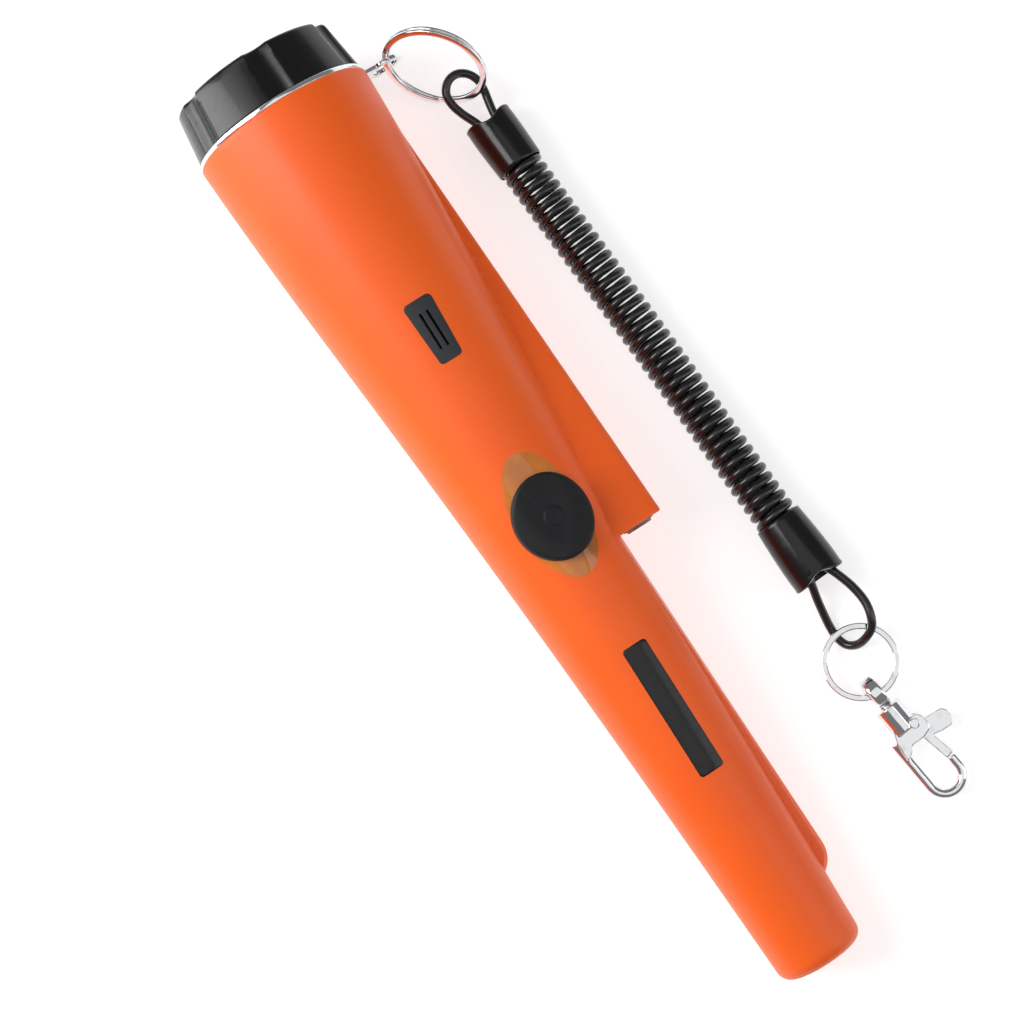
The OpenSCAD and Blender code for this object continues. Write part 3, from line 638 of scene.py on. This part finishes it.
class PROBE_OT_housing(bpy.types.Operator):
    """Moulds the housing: barrel, fin and blade as one skin with a hollow inside"""

    bl_idname = "probe.housing"
    bl_label = "Housing"

    def execute(self, context):
        sizes = context.scene.probe_sizes
        blend, corner = sizes.blend / MM, sizes.corner / MM
        turns = ring_turns()
        rings = []

        def add(x, radii):
            rings.append((x, np.asarray(radii)))

        def outer(x, past):
            return skin_radius(x, turns, blend, corner, past)

        for k in range(5):
            a = radians(90 * k / 4)
            x = MOUTH_EDGE * (1 - cos(a))
            add(x, outer(x, False) - MOUTH_EDGE * (1 - sin(a)))
        for x in np.linspace(MOUTH_EDGE, FIN_END - corner, 92)[1:]:
            add(x, outer(x, False))
        for k in range(1, 7):
            x = FIN_END - corner + corner * sin(radians(15 * k))
            add(x, outer(x, False))
        edge_of_fin, foot = rings[-1][1], outer(FIN_END, True)
        for k in range(1, 15):
            add(FIN_END, mix(edge_of_fin, np.minimum(foot, edge_of_fin), k / 14))
        for x in np.linspace(FIN_END, 203, 64)[1:]:
            add(x, outer(x, True))
        for x in np.linspace(203, BLADE_NOSE, 28)[1:]:
            add(x, outer(x, True))
        for x in np.linspace(BLADE_NOSE, TIP_FLAT, 9)[1:]:
            add(x, outer(x, True))
        for k in range(1, 9):
            a = radians(90 * k / 8)
            tip_r = body_r(TIP_FLAT) - TIP_ROUND * (1 - cos(a))
            add(TIP_FLAT + TIP_ROUND * sin(a), np.full(len(turns), tip_r))
        add(BARREL_LEN, np.full(len(turns), 3.0))
        outside = len(rings)
        add(BARREL_LEN - WALL, np.full(len(turns), 3.0))
        for x in np.linspace(BARREL_LEN - WALL - 1, CAVITY_START, 60):
            add(x, np.full(len(turns), body_r(x) - WALL))
        for x, r in (
            (CAVITY_START, BORE_R),
            (SEAL_DEPTH, BORE_R),
            (SEAL_DEPTH, SEAL_R),
            (MOUTH_BEVEL, SEAL_R),
            (0, SEAL_R + MOUTH_BEVEL),
        ):
            add(x, np.full(len(turns), r))

        count, sides = len(rings), len(turns)
        points = []
        for x, radii in rings:
            points += [(x, r * cos(a), r * sin(a)) for r, a in zip(radii, turns)]
        faces = []
        for i in range(count):
            j = (i + 1) % count
            if i == outside - 1:
                continue
            for k in range(sides):
                n = (k + 1) % sides
                quad = (i * sides + k, i * sides + n, j * sides + n, j * sides + k)
                if not self.open_at([points[q] for q in quad]):
                    faces.append(quad)
        for ring, flip in ((outside - 1, False), (outside, True)):
            rim = [ring * sides + k for k in range(sides)]
            faces.append(tuple(rim[::-1] if flip else rim))
        one = from_points("housing_skin", points, [tuple(reversed(f)) for f in faces])
        edit(one)
        bpy.ops.mesh.remove_doubles(threshold=0.004)
        bpy.ops.mesh.dissolve_degenerate(threshold=0.001)
        leave_edit()
        place_mesh(one, LAID)
        soften(one, 16)
        settle(one, "housing")
        return {"FINISHED"}

    @staticmethod
    def open_at(corners):
        """True where the skin is left open under the window, the grille or the lamp."""
        for x, y, z in corners:
            through_top = z > 0 and (
                inside_oval(x, y, WINDOW_X, WINDOW_LEN - 1.0, WINDOW_W - 1.0)
                or (abs(x - GRILLE_X) < GRILLE_LEN / 2 - 0.6 and abs(y) < GRILLE_W / 2 - 1.4)
            )
            through_end = abs(x - FIN_END) < 0.02 and (y - LAMP_Y) ** 2 + z * z < (LAMP_R - 0.25) ** 2
            if not (through_top or through_end):
                return False
        return True


def barrel_z(x, y, offset):
    """Height over the axis of a surface that follows the barrel."""
    return sqrt(max((body_r(x) + offset) ** 2 - y * y, 0))


def oval_piece(name, centre, long, wide, rows, height, under, hole=None):
    """An oval piece on the barrel, from rows of (share of the radius, drop), with an optional round hole."""
    sides = 96
    points = []

    def ring(share, surface):
        for k in range(sides):
            a = 2 * pi * k / sides
            x, y = centre + long / 2 * cos(a), wide / 2 * sin(a)
            if hole:
                x, y = mix(BUTTON_X + hole * cos(a), x, share), mix(hole * sin(a), y, share)
            else:
                x, y = mix(centre, x, share), y * share
            points.append((x, y, surface(x, y)))

    for share, drop in rows:
        ring(share, lambda x, y: height(x, y) - drop)
    below = [1 - k / 10 for k in range(10)] + [0.0 if hole else 0.02]
    for share in below:
        ring(share, under)
    count = len(rows) + len(below)
    faces = grid_faces(count, sides)
    last = (count - 1) * sides
    if hole:
        faces += [(last + k, last + (k + 1) % sides, (k + 1) % sides, k) for k in range(sides)]
    else:
        faces += [tuple(range(sides))[::-1], tuple(last + k for k in range(sides))]
    one = from_points(name, points, faces)
    edit(one)
    bpy.ops.mesh.normals_make_consistent(inside=False)
    leave_edit()
    return one


def rim_rows(inner, round_share, drop, steps=7, first=0.03):
    """Rows from the middle of an oval to its rim, which falls away in a quarter round."""
    flat = [(mix(first, inner, k / 11), 0.0) for k in range(12)]
    turns = [radians(90 * k / steps) for k in range(1, steps + 1)]
    return flat + [(inner + round_share * sin(a), drop * (1 - cos(a))) for a in turns]


class PROBE_OT_window(bpy.types.Operator):
    """Moulds the amber window: a shallow lens whose rim sinks below the shell"""

    bl_idname = "probe.window"
    bl_label = "Window"

    def execute(self, context):
        def height(x, y):
            share = ((x - WINDOW_X) / WINDOW_LEN * 2) ** 2 + (y / WINDOW_W * 2) ** 2
            return barrel_z(x, y, 0.15 - 0.2 * share**3)

        one = oval_piece(
            "window_lens",
            WINDOW_X,
            WINDOW_LEN - 0.1,
            WINDOW_W - 0.1,
            rim_rows(0.965, 0.035, 0.35, first=0.0),
            height,
            lambda x, y: barrel_z(x, y, -WALL),
            hole=STEM_R + 0.15,
        )
        place_mesh(one, LAID)
        soften(one, 50)
        settle(one, "window")
        return {"FINISHED"}


class PROBE_OT_button(bpy.types.Operator):
    """Moulds the push button: a dished pad with a raised dot, over the stem"""

    bl_idname = "probe.button"
    bl_label = "Button"

    def execute(self, context):
        radius = context.scene.probe_sizes.button_dot / MM
        floor_z = body_r(BUTTON_X) + BUTTON_TOP - 1.0

        def height(x, y):
            rim = barrel_z(x, y, BUTTON_TOP)
            away = sqrt((x - BUTTON_X) ** 2 + y * y)
            dish = floor_z + DISH_R - sqrt(DISH_R * DISH_R - away * away)
            dish += 0.22 * min(1.0, max(0.0, (radius - away) / 0.35))
            h = min(1.0, max(0.0, 0.5 + 0.5 * (rim - dish) / 0.5))
            return mix(rim, dish, h) - 0.5 * h * (1 - h)

        rows = [(share, 0.0) for share in (0.03, 0.12, 0.19, 0.205, 0.22, 0.235, 0.25)]
        rows += [(mix(0.25, 0.925, k / 14), 0.0) for k in range(1, 15)]
        for k in range(1, 7):
            a = radians(15 * k)
            rows.append((0.925 + 0.075 * sin(a), 0.7 * (1 - cos(a))))
        one = oval_piece(
            "button_pad",
            BUTTON_X,
            BUTTON_LEN,
            BUTTON_W,
            rows,
            height,
            lambda x, y: barrel_z(x, y, BUTTON_GAP),
        )
        pick(one)
        bpy.ops.object.select_all(action="DESELECT")
        bpy.ops.mesh.primitive_cylinder_add(
            vertices=48,
            radius=STEM_R,
            depth=STEM_TOP - STEM_FOOT,
            location=(BUTTON_X, 0, (STEM_TOP + STEM_FOOT) / 2),
        )
        stem = context.object
        bpy.ops.object.transform_apply()
        pick(one, stem)
        bpy.ops.object.join()
        place_mesh(one, LAID)
        soften(one, 40)
        settle(one, "button")
        return {"FINISHED"}


def cap_radius(x, turn, edge):
    """The cap's grip: a slight cone with round hollows along it."""
    cone = mix(CAP_R, CAP_END_R, (CAP_FACE - x) / (CAP_FACE - CAP_END))
    pitch_turn = 2 * pi / GRIPS
    off = (turn + pitch_turn / 2) % pitch_turn - pitch_turn / 2
    middle = cone + GRIP_R - GRIP_DEPTH
    span = GRIP_R**2 - (middle * sin(off)) ** 2
    hollow = middle * cos(off) - sqrt(span) if span > 0 else 99.0
    h = min(1.0, max(0.0, 0.5 + 0.5 * (hollow - cone) / edge))
    return mix(hollow, cone, h) - edge * h * (1 - h) * 0.5


class PROBE_OT_cap(bpy.types.Operator):
    """Moulds the screw cap: the lobed grip, the plug, its seal groove and its thread"""

    bl_idname = "probe.cap"
    bl_label = "Screw cap"

    def execute(self, context):
        edge = context.scene.probe_sizes.cap_edge / MM
        sides = 240
        turns = [2 * pi * k / sides for k in range(sides)]
        rings = [(CAP_END + 0.5, [0.0] * sides), (CAP_END + 0.5, [CAP_END_R - 4.2] * sides)]
        rings += [(CAP_END, [CAP_END_R - 4.7] * sides)]
        for k in range(6, -1, -1):
            a = radians(15 * k)
            x = CAP_END + CAP_ROUND * (1 - sin(a))
            rings.append((x, [cap_radius(x, t, edge) - CAP_ROUND * (1 - cos(a)) for t in turns]))
        for x in np.linspace(CAP_END + CAP_ROUND, CAP_FACE - 0.2, 9)[1:]:
            rings.append((x, [cap_radius(x, t, edge) for t in turns]))
        rings.append((CAP_FACE, [cap_radius(CAP_FACE, t, edge) - 0.2 for t in turns]))
        groove = SEAL_R - 1.86
        for x, r in (
            (CAP_FACE, PLUG_R), (1.07, PLUG_R), (1.07, groove), (2.93, groove), (2.93, PLUG_R),
            (PLUG_LEN - 0.5, PLUG_R), (PLUG_LEN, PLUG_R - 0.5), (PLUG_LEN, 14.9), (8.2, 14.9),
            (8.2, 12.3), (CAP_END + 3, 12.3), (CAP_END + 3, 0.0),
        ):
            rings.append((x, [r] * sides))
        points = []
        for x, radii in rings:
            points += [(x, r * cos(t + pi / 2), r * sin(t + pi / 2)) for r, t in zip(radii, turns)]
        one = from_points("cap_moulded", points, grid_faces(len(rings), sides))
        edit(one)
        bpy.ops.mesh.remove_doubles(threshold=0.001)
        bpy.ops.mesh.normals_make_consistent(inside=False)
        leave_edit()
        steps = 120
        line = []
        for k in range(steps + 1):
            turn = THREAD_TURNS * k / steps
            a = 2 * pi * turn
            sink = 0.8 * max(0.0, 1 - min(k, steps - k) / 8)
            radius = PLUG_R - sink
            line.append((THREAD_START + THREAD_PITCH * turn, radius * cos(a), radius * sin(a)))
        ridge = [(-0.95, -0.3), (0.95, -0.3), (0.3, 0.78), (-0.3, 0.78)]
        points = []
        for x, y, z in line:
            out = Vector((0, y, z)).normalized()
            points += [Vector((x + across, y, z)) + out * up for across, up in ridge]
        faces = grid_faces(len(line), 4) + [(0, 1, 2, 3), tuple(len(points) - 4 + k for k in (3, 2, 1, 0))]
        thread = from_points("cap_thread", points, faces)
        edit(thread)
        bpy.ops.mesh.normals_make_consistent(inside=False)
        leave_edit()
        pick(one, thread)
        bpy.ops.object.join()
        place_mesh(one, LAID)
        soften(one, 32)
        settle(one, "cap")
        refined("cap_o_ring", 0)
        return {"FINISHED"}


class PROBE_OT_fittings(bpy.types.Operator):
    """Finishes the grille, name plate, lamp and lanyard washer"""

    bl_idname = "probe.fittings"
    bl_label = "Fittings"

    def execute(self, context):
        self.name_plate()
        for node, edge in (
            ("speaker_grille", 0.12),
            ("lanyard_washer", 0.18),
            ("led_lens", 0.3),
            ("led_reflector", 0.05),
            ("led_lamp", 0.1),
        ):
            refined(node, edge * MM)
        return {"FINISHED"}

    @staticmethod
    def name_plate():
        """Lays a thin plate on the barrel, with round corners and a soft rim."""
        outline = rounded_box(BADGE_LEN - 0.1, BADGE_W - 0.1, 0.8, 6)
        edge = []
        for (ax, ay), (bx, by) in zip(outline, outline[1:] + outline[:1]):
            steps = max(1, int(sqrt((bx - ax) ** 2 + (by - ay) ** 2) / 0.5))
            edge += [(mix(ax, bx, k / steps), mix(ay, by, k / steps)) for k in range(steps)]
        rows = [(share, 0.1) for share in (0.02, 0.25, 0.5, 0.7, 0.85, 0.94, 0.975)]
        rows += [(0.988, 0.07), (0.996, 0.03), (1.0, -0.03)]
        rows += [(share, -0.4) for share in (1.0, 0.85, 0.7, 0.5, 0.25, 0.02)]
        points = []
        for share, lift in rows:
            for across, y in edge:
                x, y = BADGE_X + across * share, y * share
                points.append((x, y, barrel_z(x, y, lift)))
        count, sides = len(rows), len(edge)
        faces = grid_faces(count, sides)
        last = (count - 1) * sides
        faces += [tuple(range(sides))[::-1], tuple(last + k for k in range(sides))]
        one = from_points("badge_plate", points, faces)
        edit(one)
        bpy.ops.mesh.normals_make_consistent(inside=False)
        leave_edit()
        place_mesh(one, LAID)
        soften(one, 50)
        settle(one, "badge")


# ---------------------------------------------------------------- lanyard

LANYARD_AT, LANYARD_TURN, COIL_LEN, MOUTH_Z = (33.1, 41.0, 0), 2.75, 105.8, 6.7
UPPER_ROUTE = [
    (-7.25, 1.8, 6.7), (-10, 1.9, 6.7), (-12.8, 2.3, 6.8), (-15.4, 2.9, 6.9), (-18, 3.5, 7.1),
    (-20.4, 3.6, 7.5), (-22.5, 2.7, 8.1), (-23.9, 1, 8.7), (-24.2, -1, 9.1), (-23.4, -3, 9.2),
    (-21.5, -4.5, 8.9), (-18.8, -4.7, 8.2), (-15.8, -3.9, 7.4), (-12.8, -2.7, 6.9),
    (-10, -1.9, 6.7), (-7.25, -1.8, 6.7),
]
LOWER_ROUTE = [
    (116.4, 1.8, 6.7), (118.6, 2.4, 6.8), (121.6, 3.6, 7), (126.2, 4.8, 7.2), (130.6, 5.1, 7.6),
    (134, 4.3, 7.7), (136.4, 2.9, 7), (137.6, 0.8, 5.4), (137.9, -1.6, 3), (136.6, -3.6, 1.5),
    (134, -4.4, 1.2), (131, -4.3, 1.3), (127.5, -3.8, 2.6), (124, -3.2, 4.4), (120.6, -2.4, 6),
    (118.2, -1.9, 6.6), (116.15, -1.8, 6.7),
]
SLEEVE_HOLLOW = 8.0
SLEEVES = (("sleeve_upper", 11.8, 6.0, False), ("sleeve_lower", 14.8, 6.45, True))
LANYARD = SURFACE @ Matrix.Translation(LANYARD_AT) @ Matrix.Rotation(radians(LANYARD_TURN), 4, "Z")


def smooth_route(points, parts):
    """Points on a soft curve through a route."""
    points = [Vector(p) for p in points]
    line = []
    for i in range(len(points) - 1):
        a, b = points[max(i - 1, 0)], points[i]
        c, d = points[i + 1], points[min(i + 2, len(points) - 1)]
        for k in range(parts):
            u = k / parts
            bend = (2 * a - 5 * b + 4 * c - d) * u**2
            twist = (3 * b - a - 3 * c + d) * u**3
            line.append(0.5 * (2 * b + (c - a) * u + bend + twist))
    return line + [points[-1]]


class PROBE_OT_cord(bpy.types.Operator):
    """Winds the cord: a loop, the long coil, and a second loop, as one length"""

    bl_idname = "probe.cord"
    bl_label = "Coiled cord"

    def execute(self, context):
        sizes = context.scene.lanyard_sizes
        wire, mean = sizes.cord / MM, (sizes.coil - sizes.cord) / 2 / MM
        line = smooth_route(UPPER_ROUTE[::-1], 4)
        line.append(Vector((-4.5, 1.8, 6.7)))
        steps = int(sizes.turns * sizes.steps)
        for k in range(steps + 1):
            u = k / steps
            a = 2 * pi * sizes.turns * u + pi / 2
            bow = sin(pi * u) ** 2
            line.append(
                Vector((u * COIL_LEN, 0.4 * bow + mean * sin(a), MOUTH_Z - 1.2 * bow - mean * cos(a)))
            )
        line.append(Vector((112.5, 1.8, 6.7)))
        line += smooth_route(LOWER_ROUTE, 4)
        line = [LANYARD @ p for p in line]
        data = bpy.data.curves.new("coiled_cord", "CURVE")
        data.dimensions = "3D"
        data.bevel_depth = sizes.cord / 2
        data.bevel_resolution = 3
        data.use_fill_caps = True
        spline = data.splines.new("POLY")
        spline.points.add(len(line) - 1)
        for point, place in zip(spline.points, line):
            point.co = (*place, 1)
        cord = bpy.data.objects.new("coiled_cord", data)
        context.collection.objects.link(cord)
        data.materials.append(finish_for("cord_jacket"))
        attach(cord, "lanyard")
        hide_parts("cord_upper_loop", "cord_coil", "cord_lower_loop")
        whole = sum((b - a).length for a, b in zip(line, line[1:]))
        return {"FINISHED"}


class PROBE_OT_sleeves(bpy.types.Operator):
    """Moulds the two sleeves that close the ends of the coil"""

    bl_idname = "probe.sleeves"
    bl_label = "Sleeves"

    def execute(self, context):
        edge = context.scene.probe_sizes.sleeve_edge / MM
        coil_r = context.scene.lanyard_sizes.coil / 2 / MM
        for node, long, mouth, turned in SLEEVES:
            grip = coil_r + 0.4
            outline = [(SLEEVE_HOLLOW, 0.0), (SLEEVE_HOLLOW, 4.6), (0.4, 4.7), (0.0, 4.9)]
            for k in range(7):
                a = radians(15 * k)
                outline.append((edge * (1 - cos(a)), mouth - edge * (1.15 - sin(a))))
            for k in range(1, 25):
                u = k / 24
                belly = mouth * (1 - 0.03 * (1 - u) ** 6) - (mouth - grip) * u**1.7
                outline.append((mix(edge, long + 1.7, u), belly))
            bore = coil_r + 0.1
            outline += [(long + 2.0, grip - 0.25), (long + 2.0, bore), (long, bore), (long, 0.0)]
            points = []
            for x, r in outline:
                for k in range(64):
                    a = 2 * pi * k / 64
                    notch = max(0.0, cos(a - pi / 2)) ** 6 * 1.5 * max(0.0, 1 - x / 3) * (r > 4)
                    at = x + notch
                    along = COIL_LEN + long - at if turned else at - long
                    points.append((along, r * cos(a), MOUTH_Z + r * sin(a)))
            one = from_points(node + "_moulded", points, grid_faces(len(outline), 64))
            edit(one)
            bpy.ops.mesh.remove_doubles(threshold=0.001)
            bpy.ops.mesh.normals_make_consistent(inside=False)
            leave_edit()
            place_mesh(one, LANYARD)
            soften(one, 45)
            settle(one, node)
        return {"FINISHED"}


RING_TURN, RING_TILT, EYE_ON_RING = 43.8, 64.0, 164.6
BIG_RING_R, BIG_RING_WIRE, BIG_RING_T = 11.7, 1.6, 1.8
SMALL_RING_R, SMALL_RING_WIRE, SMALL_RING_T = 8.3, 1.5, 2.0
SMALL_RING_AT = (174.6, 44.2, 4)


def split_ring(name, radius, wire, thick, start):
    """A split ring: two full turns of flat wire that lie on each other and step over once."""
    turn_t = thick / 2 - 0.02
    steps = 200
    centres = []
    for k in range(steps + 1):
        u = k / steps
        a = start + 4 * pi * u * 0.985
        rise = np.clip((u - 0.44) / 0.12, 0, 1)
        rise = rise * rise * (3 - 2 * rise)
        centres.append((radius * cos(a), radius * sin(a), mix(-turn_t / 2, turn_t / 2, float(rise))))
    one = sweep(name, centres, rounded_box(wire, turn_t, 0.32, 4), Vector((0, 0, 1)))
    soften(one, 40)
    return one


class PROBE_OT_rings(bpy.types.Operator):
    """Winds the two split rings"""

    bl_idname = "probe.rings"
    bl_label = "Split rings"

    def execute(self, context):
        eye_tilt, eye_r = radians(EYE_ANGLE + ROLL), EYE_AT + 0.9
        eye = Vector(
            (
                -WASHER_T / 2 * cos(PITCH) - eye_r * sin(eye_tilt) * sin(PITCH),
                eye_r * cos(eye_tilt),
                LIFT + WASHER_T / 2 * sin(PITCH) - eye_r * sin(eye_tilt) * cos(PITCH),
            )
        )
        on_ring = Vector((cos(radians(EYE_ON_RING)), -sin(radians(EYE_ON_RING)), 0)) * BIG_RING_R
        lean = Matrix.Rotation(radians(RING_TURN), 4, "Z") @ Matrix.Rotation(radians(RING_TILT), 4, "X")
        big = split_ring("split_ring_large", BIG_RING_R, BIG_RING_WIRE, BIG_RING_T, radians(-72))
        place_mesh(big, SURFACE @ Matrix.Translation(eye) @ lean @ Matrix.Translation(-on_ring))
        settle(big, "ring_large")
        small = split_ring("split_ring_small", SMALL_RING_R, SMALL_RING_WIRE, SMALL_RING_T, radians(250))
        place_mesh(small, SURFACE @ Matrix.Translation(SMALL_RING_AT))
        settle(small, "ring_small")
        return {"FINISHED"}


class PROBE_OT_clasp(bpy.types.Operator):
    """Finishes the swivel clasp: swivel, hook, rivet, spring and lever"""

    bl_idname = "probe.clasp"
    bl_label = "Swivel clasp"

    def execute(self, context):
        for node, passes in (("clasp_swivel", 5), ("clasp_hook", 7), ("clasp_lever", 5)):
            one = refined(node, 0, smooth=60)
            grain = one.modifiers.new("grain", "REMESH")
            grain.mode = "VOXEL"
            grain.voxel_size = 0.14 * MM
            cast = one.modifiers.new("cast", "SMOOTH")
            cast.iterations = passes
            bake_modifiers(one)
            soften(one, 180)
        refined("clasp_pin", 0.15 * MM)
        refined("lever_spring", 0)
        return {"FINISHED"}


class PROBE_OT_inside(bpy.types.Operator):
    """Gives the battery, board, motor and sensing coil their finishes"""

    bl_idname = "probe.inside"
    bl_label = "Inside"

    def execute(self, context):
        for name, node in frame["nodes"].items():
            node.data.materials.clear()
            node.data.materials.append(finish_for(slot_of(name)))
        return {"FINISHED"}


# ---------------------------------------------------------------- stage

CAMERA_AT = Vector((43.0, -9.1, 563.6)) * MM
CAMERA_AIM = Vector((-2.8, -9.1, 16.7)) * MM
PICTURE_TURN = radians(57.09)


def area_light(name, place, aim, size, power):
    data = bpy.data.lights.new(name, "AREA")
    data.shape = "RECTANGLE"
    data.size, data.size_y = size
    data.energy = power
    lamp = bpy.data.objects.new(name, data)
    bpy.context.collection.objects.link(lamp)
    lamp.location = place
    lamp.rotation_euler = (Vector(aim) - Vector(place)).to_track_quat("-Z", "Y").to_euler()
    return lamp


class PROBE_OT_stage(bpy.types.Operator):
    """Sets the camera, a pale floor and soft studio light"""

    bl_idname = "probe.stage"
    bl_label = "Stage"

    def execute(self, context):
        back = (CAMERA_AT - CAMERA_AIM).normalized()
        right = Vector((cos(PICTURE_TURN), sin(PICTURE_TURN), 0))
        right = (right - back * right.dot(back)).normalized()
        up = back.cross(right)
        data = bpy.data.cameras.new("camera")
        data.lens = 84.9
        data.sensor_width = 36
        data.clip_end = 10
        camera = bpy.data.objects.new("camera", data)
        context.collection.objects.link(camera)
        turned = Matrix((right, up, back)).transposed().to_4x4()
        camera.matrix_world = Matrix.Translation(CAMERA_AT) @ turned
        context.scene.camera = camera

        pick(frame["nodes"]["housing"])
        bpy.ops.object.select_all(action="DESELECT")
        bpy.ops.mesh.primitive_plane_add(size=6, location=(0, 0, -0.0002))
        floor = context.object
        floor.name = "floor"
        paper = Finish(
            "studio_paper",
            base_color=(0.6, 0.6, 0.6),
            roughness=0.9,
            specular_ior_level=0.1,
            emission_color=(1.0, 1.0, 1.0),
            emission_strength=0.66,
        )
        floor.data.materials.append(paper.material)

        left = Vector((-cos(PICTURE_TURN), -sin(PICTURE_TURN), 0))
        area_light("key", left * 0.62 + Vector((0.05, 0, 0.42)), (0, 0, 0.02), (0.3, 0.9), 5.4)
        area_light("fill", -left * 0.75 + Vector((0, 0, 0.45)), (0, 0, 0.01), (0.4, 0.9), 1.6)
        area_light("end", Vector((-0.6, -0.3, 0.8)), (0, 0, 0), (0.5, 0.3), 0.7)
        area_light("top", Vector((0.1, 0.1, 1.2)), (0, 0, 0), (0.9, 0.9), 1.9)
        world = bpy.data.worlds.new("studio")
        world.use_nodes = True
        world.node_tree.nodes["Background"].inputs["Color"].default_value = (1, 1, 1, 1)
        world.node_tree.nodes["Background"].inputs["Strength"].default_value = 0.2
        context.scene.world = world
        context.scene.view_settings.view_transform = "Standard"
        return {"FINISHED"}


OPERATORS = (
    PROBE_OT_stage,
    PROBE_OT_cord,
    PROBE_OT_inside,
    PROBE_OT_housing,
    PROBE_OT_window,
    PROBE_OT_button,
    PROBE_OT_cap,
    PROBE_OT_fittings,
    PROBE_OT_sleeves,
    PROBE_OT_rings,
    PROBE_OT_clasp,
)


class PROBE_PT_workshop(bpy.types.Panel):
    """Lists the probe's pieces"""

    bl_idname = "PROBE_PT_workshop"
    bl_label = "Detecting Probe"
    bl_space_type = "VIEW_3D"
    bl_region_type = "UI"
    bl_category = "Probe"

    def draw(self, context):
        for group in ("probe_sizes", "lanyard_sizes", "probe_colours"):
            settings = getattr(context.scene, group)
            box = self.layout.box()
            for name in settings.bl_rna.properties.keys():
                if name not in ("rna_type", "name"):
                    box.prop(settings, name)
        for operator in OPERATORS:
            self.layout.operator(operator.bl_idname)


CLASSES = (ProbeSizes, LanyardSizes, ProbeColours, *OPERATORS, PROBE_PT_workshop)


def register():
    for one in CLASSES:
        bpy.utils.register_class(one)
    bpy.types.Scene.probe_sizes = PointerProperty(type=ProbeSizes)
    bpy.types.Scene.lanyard_sizes = PointerProperty(type=LanyardSizes)
    bpy.types.Scene.probe_colours = PointerProperty(type=ProbeColours)


def unregister():
    del bpy.types.Scene.probe_colours
    del bpy.types.Scene.lanyard_sizes
    del bpy.types.Scene.probe_sizes
    for one in reversed(CLASSES):
        bpy.utils.unregister_class(one)


def main():
    register()
    for operator in OPERATORS:
        group, name = operator.bl_idname.split(".")
        getattr(getattr(bpy.ops, group), name)()
    bpy.context.view_layer.update()


if __name__ == "__main__":
    main()
